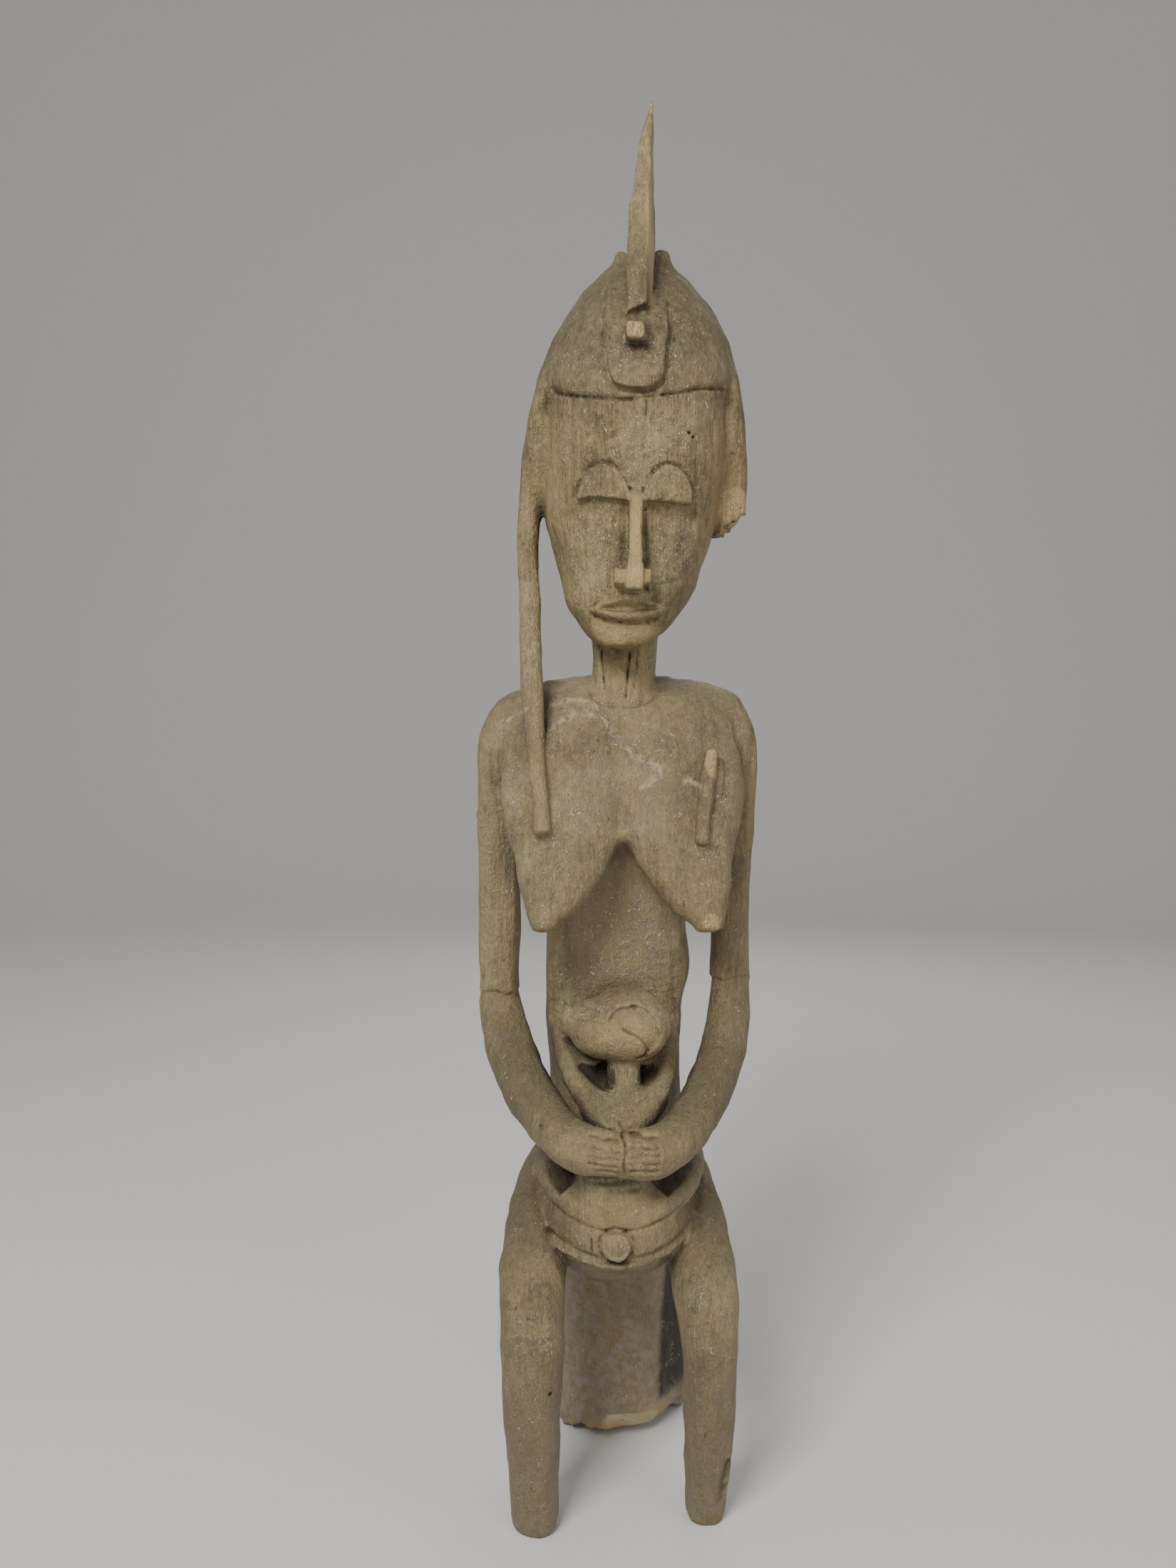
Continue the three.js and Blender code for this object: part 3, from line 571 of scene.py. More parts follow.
def eyelid_outline(x, half, top, base):
    """A half disc over a nearly level base, which is given from left to right."""
    arc = []
    for angle in np.linspace(0, math.pi, 15):
        foot = base[-1] + (base[0] - base[-1]) * angle / math.pi
        arc.append([x + half * math.cos(angle), foot + (top - foot) * math.sin(angle)])
    return arc + [[x + half * f, z] for f, z in zip((-0.9, -0.5, 0, 0.5, 0.9), base)]


skull = Stack(HEAD)
cap_rings = Stack(CAP, facets=15, turn=0.3, calm=(788, 840))
horn = Limb([row[:3] + [row[3] * HORN_FLAT, row[4] * HORN_FLAT] for row in HORN], aside=(0.96, -0.28, 0),
            square=10, tips=(2, 2))
plate_line = Line(PLATE, closed=True)
lid_lines = [Line(eyelid_outline(**lid), per_span=1, closed=True) for lid in EYELIDS]
mouth_line = Line(MOUTH, closed=True)
hollow_line = Line(MOUTH_HOLLOW, closed=True)


class Custom:
    """A form given by a function of the points and its box."""

    def __init__(self, low, high, distance):
        self.low = np.array(low, float)
        self.high = np.array(high, float)
        self.distance = distance

    def __call__(self, points):
        return self.distance(points)


class Ragged:
    """A form whose end at a height is uneven."""

    def __init__(self, form, height, amount, seed):
        self.form = form
        self.height = height
        self.amount = amount
        self.seed = seed
        self.low = form.low - np.array([0, 0, amount])
        self.high = form.high

    def __call__(self, points):
        moved = points.copy()
        close = fade(np.abs(points[:, 2] - self.height), 16, 5)
        moved[:, 2] += self.amount * close * noise(points, (7, 9, 60), self.seed)
        return self.form(moved)


class Broken:
    """A form torn off across the grain, with nothing left below a height that changes sideways."""

    def __init__(self, form, x, z, slope, splinter):
        self.form = form
        self.place = (x, z, slope, splinter)
        self.low = form.low
        self.high = form.high

    def __call__(self, points):
        x, z, slope, splinter = self.place
        height = z + slope * np.maximum(points[:, 0] - x, 0)
        height = height + splinter * noise(points, (2.6, 4, 90), 61)
        height = height + 0.5 * splinter * noise(points, (6, 8, 90), 62)
        return np.maximum(self.form(points), (height - points[:, 2]) * 0.6)


def cap(points):
    """Distance to the cap, whose edge rises from the brow to the sides."""
    moved = points.copy()
    moved[:, 2] -= CAP_LIFT * fade(points[:, 1], -74, -20) * fade(points[:, 2], 822, 786)
    return cap_rings(moved)


def horn_distance(points):
    """Distance to the horn, whose foot is cut on a slant."""
    level, slope = HORN_FOOT
    foot = (level + slope * points[:, 0] - points[:, 2]) * 0.9
    return carve(horn(points), foot, 1.6)


def stub_distance(points):
    along = np.clip((points[:, 1] - STUB_ROOT[1]) / (STUB_END[1] - STUB_ROOT[1]), 0, 1)[:, None]
    x, _, z, wide, high = (np.array(STUB_ROOT) * (1 - along) + np.array(STUB_END) * along).T
    section = carve(np.abs(points[:, 0] - x) - wide, np.abs(points[:, 2] - z) - high, 3.4)
    return carve(section, STUB_END[1] - points[:, 1], 2)


def plate_distance(points):
    outline = plate_line.inside(points)
    rise = PLATE_RISE * (1 - 0.85 * fade(points[:, 2], 832, 862))
    return np.maximum(carve(outline, cap(points) - rise, 1), points[:, 1] + 20)


def lid_distance(line, foot, top):
    def distance(points):
        outline = line.inside(points)
        rise = LID_RISE * (1 - 0.5 * fade(points[:, 2], foot, top))
        return np.maximum(carve(outline, skull(points) - rise, 0.9), points[:, 1] + 20)
    return distance


def mouth_distance(points):
    outline = mouth_line.inside(points)
    hollow = fade(-hollow_line.inside(points), -0.6, 2.2)
    rise = MOUTH_RISE * (0.62 + 0.38 * fade(-outline, 0, 4)) - 4 * hollow
    return np.maximum(carve(outline, skull(points) - rise, 1.2), points[:, 1] + 20)


def navel_distance(points):
    """Distance to the flat disc of the navel, whose front leans back a little towards the top."""
    round_side = np.hypot(points[:, 0] - NAVEL["x"], points[:, 2] - NAVEL["z"]) - NAVEL["radius"]
    front = NAVEL["y"] + 0.1 * (points[:, 2] - NAVEL["z"]) - points[:, 1]
    return np.maximum(carve(round_side, front, 1.4), points[:, 1] + 60)


def ring_line(middle, radius):
    """A circle drawn on the front."""
    x, z = middle
    turns = np.linspace(0, 2 * math.pi, 12, endpoint=False)
    return Line([[x + radius * math.cos(a), z + radius * math.sin(a)] for a in turns], 2, closed=True)


def stool_distance(points):
    x, y, radius, top = STOOL["x"], STOOL["y"], STOOL["radius"], STOOL["top"]
    dx, dy = points[:, 0] - x, points[:, 1] - y
    drum = np.hypot(dx, dy) - radius
    for turn, inset in STOOL_FACETS:
        side = dx * math.sin(turn) - dy * math.cos(turn) - radius + inset
        drum = carve(drum, side, 2)
    front = fade(points[:, 1], 76, 58) * fade(points[:, 0], -47, -24)
    broken = STOOL["chip"] * front * (1 + 0.12 * noise(points, (7, 7, 90), 41))
    bevel = STOOL["slant"] * np.maximum(STOOL["bevel"] - points[:, 2], 0) * fade(points[:, 0], -8, 2) * front
    return np.maximum(drum + bevel, np.maximum(points[:, 2] - top, broken - points[:, 2]))


# The stool's flat sides: turn from the front, in radians, and how deep the flat is cut.
STOOL_FACETS = [(0, 1.2), (0.92, 3), (-0.9, 1.6), (1.9, 3.4), (-2.0, 3.6), (2.75, 3), (-2.9, 2.6)]

# Specks of pale crust that stand out on the arms: place and half sizes.
SPECKS = [
    (-105, 0, 496, 1.9, 2.6, 3.2), (-105, 2, 470, 1.5, 2, 2.4), (99.4, 0, 519, 1.9, 2.6, 3.2),
    (99.6, 1, 545, 1.5, 2, 2),
]

JOINED = 1
CUT = -1


def joined(rows, blend, **settings):
    return JOINED, Limb(rows, **settings), blend


def pair(sides, blend, **settings):
    """The same kind of limb for both sides."""
    return [joined(rows, blend, **settings) for rows in sides]


def sleeve(rows, height, seed):
    """An upper arm with an uneven edge where the forearm begins."""
    arm = Limb(rows, square=2.5, tips=(8, 2))
    return JOINED, Ragged(arm, height, 3.4, seed), by_height(1, 16, 540, 585)


# The forms in the order in which they are joined or cut out, each with the width of its blend. A cavity
# comes before what overhangs it, so that the overhang keeps its edge.
FORMS = [
    (JOINED, Custom((-53, 21, -1), (57, 131, 159), stool_distance), 1),
    (JOINED, Stack(TRUNK), 3),
    (JOINED, Stack(BELLY), 3),
    *pair(LEGS, 3.5, square=2.3, tips=(9, 4)),
    joined(CHILD_LEGS, 6, aside=LEVEL, square=2.2),
    joined(BELT, 2, aside=LEVEL),
    (CUT, CAVITIES[0], 2),
    (CUT, CAVITIES[1], 2),
    (JOINED, Stack(CHILD_BODY), 2.4),
    *pair(CHILD_ARMS, 7, aside=LEVEL, square=2.2),
    (CUT, CAVITIES[2], 4),
    (CUT, CAVITIES[3], 4),
    (JOINED, Stack(CHILD_NECK), 1.4),
    joined(CHILD_HEAD, 1, aside=LEVEL, square=2.1, tips=(3, 5)),
    *pair(BREASTS, by_height(1, 16, 454, 492), square=2.2, tips=(9, 3)),
    sleeve(UPPER_ARMS[0], 365, 51),
    sleeve(UPPER_ARMS[1], 376, 53),
    *pair(FOREARMS, 1.4, square=2.3, tips=(4, 4)),
    (JOINED, Lump(*WRIST), 3),
    (JOINED, Stack(NECK, facets=9, turn=0.2), 1.2),
    (JOINED, skull, 1.4),
    joined(NOSE_RIDGE, 1.2, square=6, tips=(3, 1.5)),
    (JOINED, Lump(*UPPER_LIP), 3),
    (JOINED, Block(**NOSTRILS), 1),
    (JOINED, Custom((-25, -80, 628), (34, -30, 653), mouth_distance), 1),
    (JOINED, Custom((-15, -100, 200), (8, -60, 222), navel_distance), 0.6),
    (JOINED, Custom(cap_rings.low, cap_rings.high, cap), 1),
    (JOINED, Custom((-12, -84, 786), (34, -30, 880), plate_distance), 0.5),
    (JOINED, Custom((-2, -88, 812), (23, -50, 836), stub_distance), 1),
    (JOINED, Custom(horn.low, horn.high, horn_distance), 1),
    *((JOINED, Block(*lug, edge=4.4), 6) for lug in LUGS),
    joined(BRAIDS[0], cap_blend(1), square=2.6, tips=(4, 1)),
    (JOINED, Broken(Limb(BRAIDS[1], square=2.6, tips=(4, 1)), 76, 700, 0.8, 4.6), cap_blend(4)),
    joined(BRAIDS[2], 1, square=2.6, tips=(2, 2)),
    *((JOINED, Lump(*speck), 0.4) for speck in SPECKS),
]
for lid, line in zip(EYELIDS, lid_lines):
    x, half, foot, top = lid["x"], lid["half"], min(lid["base"]), lid["top"]
    box_low, box_high = (x - half - 2, -84, foot - 2), (x + half + 2, -30, top + 2)
    FORMS.append((JOINED, Custom(box_low, box_high, lid_distance(line, foot, top)), 0.6))

# Lines cut into the front: points x, z, then width, depth and how far back they reach.
CUTS = [
    ([[-50, 799], [-46, 794], [-40, 788.6], [-25, 783.4], [-10, 780.6], [2, 779.4], [10.3, 780],
     [24.6, 781.8], [41, 785], [52, 789], [62, 791.4], [70, 794], [78, 797]], 1.9, 2.7, 20),
    ([[-12.6, 862], [-12.9, 848], [-12.7, 830], [-12.6, 812], [-11.4, 799], [-8.2, 790], [-3.4, 785.8],
     [3.3, 784], [13, 783.6], [21, 785.4], [26.8, 790], [29.8, 797.5], [30.2, 805], [31.2, 815],
     [33.2, 832], [33.8, 848], [33, 862]], 1.9, 1.9, 0),
    ([[35.2, 824], [34.3, 817], [32.6, 807], [31.5, 800]], 1.2, 2.2, 0),
    ([[2.4, 834], [8, 837], [14, 838.4], [19.6, 838]], 2.4, 1.6, -50),
    ([[50.8, 744], [51, 716], [48, 687]], 1.5, 1, -40),
    ([[15, 654.4], [30.4, 658.8], [42, 663]], 1.6, 1.1, -40),
    (Line([[7.4, 619], [6, 608], [4.9, 594], [3.6, 577]], per_span=2), 1.3, 3.2, -10),
    ([[-13.4, 619], [-12.2, 601.6], [-10.3, 581]], 1.3, 2.5, -5),
    ([[12.6, 620], [11.8, 606], [10, 590], [6, 578]], 1.3, 2.1, -5),
    ([[-22, 590], [-19.6, 581], [-13, 576.4], [-4, 574.6], [5, 574], [14, 575.6], [22, 579.6], [27, 587]],
     2.4, 2, 5),
    ([[71.8, 540], [72.4, 526], [69.8, 510]], 1.6, 2.4, -20),
    ([[62.6, 543], [60, 527], [56.6, 513]], 1.4, 1.4, -40),
    ([[-4.9, 549], [-2.9, 527], [-0.2, 502], [1.2, 489]], 6, 2.4, -20),
    ([[-1, 536], [4.6, 522], [5.8, 504]], 3, 0.9, -20),
    ([[-13.3, 124], [-11.5, 104], [-8.6, 88], [-7.9, 14]], 1.4, 0.9, 60),
    ([[-95, 556], [-94, 546], [-90.4, 518], [-85, 492], [-80, 466]], 4, 1.6, 0),
    ([[97, 562], [97.4, 550], [93, 518], [87.4, 486]], 3.4, 1.6, 0),
    ([[-41.6, 434], [-40.6, 394], [-42, 360]], 4, 1.6, 0),
    ([[32, 438], [38.7, 404], [40, 358]], 4, 1.6, 0),
    ([[74.6, 54], [71, 36], [68, 15]], 4, 2.6, -58),
    ([[-10, 358.6], [-7.6, 364], [-3.1, 368], [3.7, 369.6], [10.9, 370.4], [17.4, 367.4], [22.2, 362.4],
     [25, 356.6]], 1.9, 2.3, -50),
    ([[-2.4, 358.5], [3.7, 354], [10, 351.5], [15.1, 346.1], [16.6, 340.4], [14.4, 335.4], [8, 333.4]], 2,
     2.7, -50),
    ([[8, 347.6], [11, 344.6], [11.2, 340.6], [8.6, 338]], 1.4, 0.9, -50),
    ([[-38, 361.4], [-27.9, 359.6], [-20.6, 360.2], [-10, 359]], 2.2, 1.9, -45),
    ([[-3.4, 298], [-2.2, 294], [0.5, 290], [1.6, 285.9], [0.8, 281], [0.2, 275], [1.9, 264]], 1.9, 2.8,
     -88),
    ([[-24, 290.6], [-18, 291.2], [-12, 289.6], [-6, 290.2], [-1.8, 289.4]], 1.7, 1.6, -92),
    ([[-26, 285], [-19, 286], [-12, 284.6], [-5, 284], [0, 285]], 1.8, 1.9, -92),
    ([[-23, 280.6], [-15, 279.6], [-8, 280.6], [-1, 279.6]], 1.8, 1.8, -92),
    ([[-24, 275.6], [-16, 275.4], [-9, 274.2], [-2, 275]], 1.8, 1.9, -92),
    ([[-18, 270.6], [-11, 271.2], [-3, 269.6]], 1.8, 1.8, -92),
    ([[3, 291.4], [10, 292], [17, 290.6], [24, 291]], 1.9, 1.8, -92),
    ([[2.4, 286], [10, 287], [18, 285.4], [25, 285.6]], 1.8, 1.9, -92),
    ([[2, 281.4], [9, 280.8], [17, 281.6], [26, 280]], 1.8, 1.8, -92),
    ([[2.4, 276], [10, 276.6], [18, 275.4], [25, 275.6]], 1.8, 1.8, -92),
    ([[3, 271], [11, 271.4], [19, 270], [24, 270.6]], 1.8, 2, -92),
    ([[-34.6, 291], [-33, 283], [-34.6, 275], [-36.4, 268]], 1.8, 1, -60),
    ([[18, 318], [14, 308], [11, 300]], 3, 1, -60),
    ([[-44, 322], [-38, 308], [-28, 296]], 2.4, 1.4, -30),
    ([[42, 320], [35, 307], [26, 296]], 2.4, 1.4, -30),
    ([[-24, 261], [-12, 260], [0, 260.6], [12, 259.6]], 1.7, 1.1, -80),
    ([[-22, 254], [-10, 254.6], [4, 255.8], [13, 255]], 1.7, 1.3, -80),
    ([[-21, 247.8], [-6, 249.2], [13, 248.9]], 1.7, 1.1, -80),
    ([[-14, 241.6], [-2, 242.6], [15, 243.1]], 1.8, 1, -80),
    ([[-58, 234], [-46, 228.6], [-25.4, 222.6], [-3.8, 220.4], [17.8, 222.8], [39, 230], [50, 239]], 2.2,
     1.8, -20),
    (ring_line((NAVEL["x"], NAVEL["z"]), NAVEL["radius"] + 1.6), 1.9, 2.1, -70),
    (ring_line((NAVEL["x"], NAVEL["z"]), NAVEL["radius"] * 0.62), 1.7, 1.2, -70),
    ([[-54, 209.6], [-39, 206], [-22, 202.6], [-14, 201]], 2.1, 2, -40),
    ([[7, 201], [16, 202.4], [30, 205.4], [46, 211]], 2.1, 2, -40),
    ([[-42, 197.4], [-22, 192.8], [-4, 191.4], [16, 192.6], [34, 197.6]], 2.1, 1.6, -40),
    ([[2.4, 707], [2, 701], [1.6, 692], [0.8, 678], [-0.6, 668]], 3, 2, -40),
    ([[15.7, 706], [15.6, 701], [15.7, 692], [16, 678], [17, 668]], 3, 2, -40),
    (Line([[-13.2 - 18.6 * math.cos(a), 713 + 25.6 * math.sin(a)] for a in np.linspace(0.1, 2.45, 9)]), 1.9,
     2.3, -30),
    (Line([[32 - 18 * math.cos(a), 711 + 26.6 * math.sin(a)] for a in np.linspace(0.6, 3.05, 9)]), 1.9, 2.3,
     -30),
    ([[-20, 639.4], [-14.4, 635.6], [-8.6, 633.6], [-2.3, 632.6], [6, 632], [15, 632.4], [22, 633.8],
     [27.6, 637]], 1.8, 1.7, -30),
    ([[-20.6, 641], [-16, 646], [-8.6, 650], [2, 651.6], [12, 650.6], [21, 647.6]], 1.6, 0.9, -30),
    ([[-12, 652.6], [-5.3, 655], [3.3, 655.8], [12.8, 655.2], [20, 652.4]], 1.6, 0.8, -40),
    ([[-62, 436], [-58.6, 441.6], [-52.6, 443.4], [-46.6, 441], [-43.6, 435.4]], 1.6, 0.9, -50),
    ([[48, 434], [53, 441], [60.4, 443.6], [67, 441], [70.6, 434]], 1.8, 1.3, -50),
    ([[-57.4, 496.4], [-54.6, 494.2], [-50.6, 495]], 1.4, 1, -60),
    ([[0, 25.6], [14, 26.6], [30, 26.2], [46, 27]], 1.3, 0.7, 60),
]
CUTS = [(line if isinstance(line, Line) else Line(line), *rest) for line, *rest in CUTS]

# Hollows in the front: outline, depth, width of the soft edge and how far back they reach.
PANELS = [
    ([[-9.9, 358.8], [-7.5, 363.9], [-3.1, 367.8], [3.7, 369.3], [10.9, 370.2], [17.2, 367.3],
     [22.1, 362.4], [25, 356.6], [26.9, 350.2], [24, 344.3], [19.2, 339.4], [14.8, 335.6], [16.7, 340.4],
     [15.3, 346.3], [10, 351.7], [3.7, 354.1], [-2.2, 358.5]], 3.6, 1.8, -50),
    ([[-37, 361.6], [-34, 371], [-16, 379], [-5, 382], [0, 376], [-8, 366], [-11, 360.6], [-20, 360.8],
     [-28, 360.6]], 2.2, 2.4, -45),
    ([[-30, 711.4], [-12, 710.6], [3, 711], [4, 700], [0, 690], [-14, 694], [-26, 702]], 1.7, 9, -40),
    ([[16, 710.4], [32, 709.6], [47, 710], [44, 700], [34, 692], [19, 688], [15, 698]], 1.7, 9, -40),
]
PANELS = [(Line(outline, closed=True), *rest) for outline, *rest in PANELS]

# Small holes in the front: x, z, radius, depth and how far back they reach.
PITS = [
    (45.1, 758.6, 1.5, 3.5, -40), (47.6, 756, 1.3, 3, -40), (-49, 111, 1.8, 3, -60), (-88, 519, 2, 3, 0),
    (-55, 291, 1.6, 2.5, -40), (9.2, 659, 1.5, 1.2, -80), (15.4, 707, 1.7, 3, -40),
    (13.8, 671, 1.4, 3, -40),
]


# The uneven surface: depth, wavelengths and seed. The scoops of the gouge also have a reach in cells.
SWELL = (0.8, (34, 34, 46), 11)
WAVE = (0.45, (14, 14, 22), 12)
SCOOP = (1.1, (13, 13, 27), 0.72, 21)
GRAIN = (0.25, (6, 6, 60), 31)


def near(form, low, high, margin):
    """True where the form's box, grown by the margin, meets the box from low to high."""
    return bool(np.all(form.low - margin < high) and np.all(form.high + margin > low))


def meets(line, low, high, reach):
    """True where a drawn line's box, grown by the reach, meets the box from low to high as seen in front."""
    return (line.low - reach <= high[[0, 2]]).all() and (line.high + reach >= low[[0, 2]]).all()


def bulk(points, margin=FAR):
    """Distance to the joined forms."""
    low, high = points.min(0), points.max(0)
    distance = np.full(len(points), float(FAR))
    for way, form, blend in FORMS:
        if near(form, low, high, margin):
            width = blend(points) if callable(blend) else blend
            found = form(points, margin) if isinstance(form, Limb) else form(points)
            distance = way * join(way * distance, found, width)
    return distance


def groove(points, line, width, depth, ends=0.12):
    """How deep a drawn line is cut, with ragged sides and ends that run out."""
    gap, along = line.flat(points)
    gap = gap + 0.2 * width * noise(points, (5, 5, 5), 71)
    run_out = 1 if line.closed else fade(along, 0, ends) * fade(along, 1, 1 - ends)
    return depth * run_out * np.maximum(1 - gap / width, 0)


def grooves(points, widest=math.inf):
    """The depth of each drawn line that is near the points and no wider than the widest."""
    low, high = points.min(0), points.max(0)
    for line, width, depth, front in CUTS:
        if width <= widest and low[1] <= front and meets(line, low, high, width + 2):
            yield np.where(points[:, 1] < front, groove(points, line, width, depth), 0)


def relief(points):
    """How far the surface is pressed in by the carver's cuts, the grain, cracks and wear."""
    low, high = points.min(0), points.max(0)
    pressed = SWELL[0] * noise(points, *SWELL[1:]) + WAVE[0] * noise(points, *WAVE[1:])
    depth, size, reach, seed = SCOOP
    pressed += depth * np.maximum(1 - (cells(points, size, seed) / reach) ** 2, 0)
    pressed += GRAIN[0] * noise(points, *GRAIN[1:])
    for cut in grooves(points):
        pressed += cut
    for line, depth, soft, front in PANELS:
        if meets(line, low, high, 0):
            pressed += np.where(points[:, 1] < front, depth * fade(-line.inside(points), 0, soft), 0)
    for x, z, radius, depth, front in PITS:
        gap = np.hypot(points[:, 0] - x, points[:, 2] - z)
        pressed += np.where(points[:, 1] < front, depth * fade(gap, radius, radius * 0.4), 0)
    return pressed


def carving(points):
    """Distance to the finished carving."""
    distance = bulk(points, CLOSE)
    surface = np.abs(distance) < CLOSE / 2
    if surface.any():
        distance[surface] += relief(points[surface])
    return distance


# From the distance to a mesh.

def grid_line(low, high, fine):
    """Grid places from low to high, close together inside the fine stretches."""
    places = [low]
    while places[-1] < high:
        within = any(a <= places[-1] < b for a, b in fine)
        places.append(places[-1] + STEP * (1 if within else WIDE_STEP))
    return np.array(places)


def sampled(axes):
    """Distances on a grid, exact near the surface and only of the right sign elsewhere."""
    shape = tuple(len(axis) for axis in axes)
    coarse_axes = [np.interp(np.arange(0, n + COARSE, COARSE) + (COARSE - 1) / 2, np.arange(n), axis)
                   for n, axis in zip(shape, axes)]
    coarse_shape = tuple(len(axis) for axis in coarse_axes)
    nodes = np.stack(np.meshgrid(*coarse_axes, indexing="ij"), axis=-1).reshape(-1, 3)
    with ThreadPoolExecutor(WORKERS) as pool:
        rough = np.concatenate(list(pool.map(bulk, np.array_split(nodes, 96)))).reshape(coarse_shape)
    fine = np.repeat(np.repeat(np.repeat(rough, COARSE, 0), COARSE, 1), COARSE, 2)
    values = np.ascontiguousarray(fine[:shape[0], :shape[1], :shape[2]]).astype(np.float32)
    wanted = np.abs(values) < 1.5 * COARSE * STEP * WIDE_STEP
    jobs = []
    for start in itertools.product(*(range(0, n, BLOCK) for n in shape)):
        part = tuple(slice(s, s + BLOCK) for s in start)
        picked = np.argwhere(wanted[part]) + np.array(start)
        if len(picked):
            jobs.append(picked)

    def place(picked):
        return np.stack([axis[picked[:, k]] for k, axis in enumerate(axes)], axis=1)

    with ThreadPoolExecutor(WORKERS) as pool:
        for picked, found in zip(jobs, pool.map(lambda picked: carving(place(picked)), jobs)):
            values[picked[:, 0], picked[:, 1], picked[:, 2]] = found
    return values


def surface_net(values):
    """A quad mesh of the zero level: one vertex in each cell that it passes through."""
    inside = values < 0
    cell_shape = tuple(n - 1 for n in values.shape)
    corners = list(itertools.product((0, 1), repeat=3))
    count = np.zeros(cell_shape, np.uint8)
    for i, j, k in corners:
        count += inside[i:i + cell_shape[0], j:j + cell_shape[1], k:k + cell_shape[2]]
    active = np.argwhere((count > 0) & (count < 8))
    index = np.full(cell_shape, -1, np.int32)
    index[tuple(active.T)] = np.arange(len(active))
    at_corner = [values[tuple((active + corner).T)] for corner in corners]
    total = np.zeros((len(active), 3))
    crossings = np.zeros(len(active))
    for a, b in itertools.combinations(range(8), 2):
        step = np.array(corners[b]) - np.array(corners[a])
        if np.abs(step).sum() != 1:
            continue
        va, vb = at_corner[a], at_corner[b]
        cut = (va < 0) != (vb < 0)
        t = np.where(cut, va / np.where(cut, va - vb, 1), 0)
        total += cut[:, None] * (np.array(corners[a]) + t[:, None] * step)
        crossings += cut
    vertices = active + total / crossings[:, None]
    quads = []
    for axis in range(3):
        ahead = [slice(None)] * 3
        behind = [slice(None)] * 3
        ahead[axis] = slice(1, None)
        behind[axis] = slice(0, -1)
        changes = inside[tuple(behind)] != inside[tuple(ahead)]
        edges = np.argwhere(changes)
        u, v = (axis + 1) % 3, (axis + 2) % 3
        keep = (edges[:, u] > 0) & (edges[:, v] > 0)
        keep &= (edges[:, u] < cell_shape[u]) & (edges[:, v] < cell_shape[v])
        edges = edges[keep]
        around = []
        for du, dv in ((1, 1), (0, 1), (0, 0), (1, 0)):
            cell = edges.copy()
            cell[:, u] -= du
            cell[:, v] -= dv
            around.append(index[tuple(cell.T)])
        quad = np.stack(around, axis=1)
        outward = inside[tuple(edges.T)]
        quad[~outward] = quad[~outward][:, ::-1]
        quads.append(quad)
    return vertices, np.concatenate(quads)


def new_mesh(name, vertices, quads):
    mesh = bpy.data.meshes.new(name)
    mesh.vertices.add(len(vertices))
    mesh.vertices.foreach_set("co", vertices.astype(np.float32).ravel())
    mesh.loops.add(quads.size)
    mesh.loops.foreach_set("vertex_index", quads.astype(np.int32).ravel())
    mesh.polygons.add(len(quads))
    mesh.polygons.foreach_set("loop_start", np.arange(0, quads.size, 4, dtype=np.int32))
    mesh.update(calc_edges=True)
    mesh.validate()
    return mesh


def triangle_count(piece):
    return sum(len(face.vertices) - 2 for face in piece.data.polygons)


def vertex_rows(mesh, name):
    """The places or normals of a mesh's vertices, as rows."""
    flat = np.empty(3 * len(mesh.vertices))
    mesh.vertices.foreach_get(name, flat)
    return flat.reshape(-1, 3)


def design_places(mesh):
    """The places of a mesh's vertices in the design frame."""
    return vertex_rows(mesh, "co") / SHARE + np.array([*DESIGN_MIDDLE, 0])


def in_detail(piece):
    """Which vertices of the piece lie where the carving is fine."""
    places = design_places(piece.data)
    return (places[:, 1] < DETAIL_FRONT) & (places[:, 2] > DETAIL_Z[0]) & (places[:, 2] < DETAIL_Z[1])


def thin_out(piece, chosen, ratio):
    """Thin the mesh out to a share of its triangles, at the chosen vertices alone."""
    if ratio >= 1:
        return
    group = piece.vertex_groups.new(name="chosen")
    group.add(chosen.tolist(), 1.0, "REPLACE")
    thin = piece.modifiers.new("thin", "DECIMATE")
    thin.ratio = ratio
    thin.vertex_group = "chosen"
    with bpy.context.temp_override(object=piece, active_object=piece, selected_objects=[piece]):
        bpy.ops.object.modifier_apply(modifier="thin")
    piece.vertex_groups.clear()


def build_carving():
    axes = [grid_line(*reach, fine) for reach, fine in zip(REACH, FINE)]
    vertices, quads = surface_net(sampled(axes))
    places = np.stack([np.interp(vertices[:, k], np.arange(len(axis)), axis)
                       for k, axis in enumerate(axes)], axis=1)
    places[:, 2] = np.maximum(places[:, 2], 0)
    in_metres = (places - np.array([*DESIGN_MIDDLE, 0])) * SHARE
    mesh = new_mesh("figure_carving", in_metres, quads)
    piece = bpy.data.objects.new("figure_carving", mesh)
    bpy.context.scene.collection.objects.link(piece)
    detailed = in_detail(piece)
    plain_faces = int((~detailed[quads].all(axis=1)).sum())
    total = 2 * len(quads)
    kept = total - 2 * plain_faces + PLAIN_PART * MOST_TRIANGLES
    thin_out(piece, np.flatnonzero(~detailed), kept / total)
    detailed = in_detail(piece)
    thin_out(piece, np.flatnonzero(detailed), MOST_TRIANGLES / triangle_count(piece))
    piece.data.shade_smooth()
    return piece
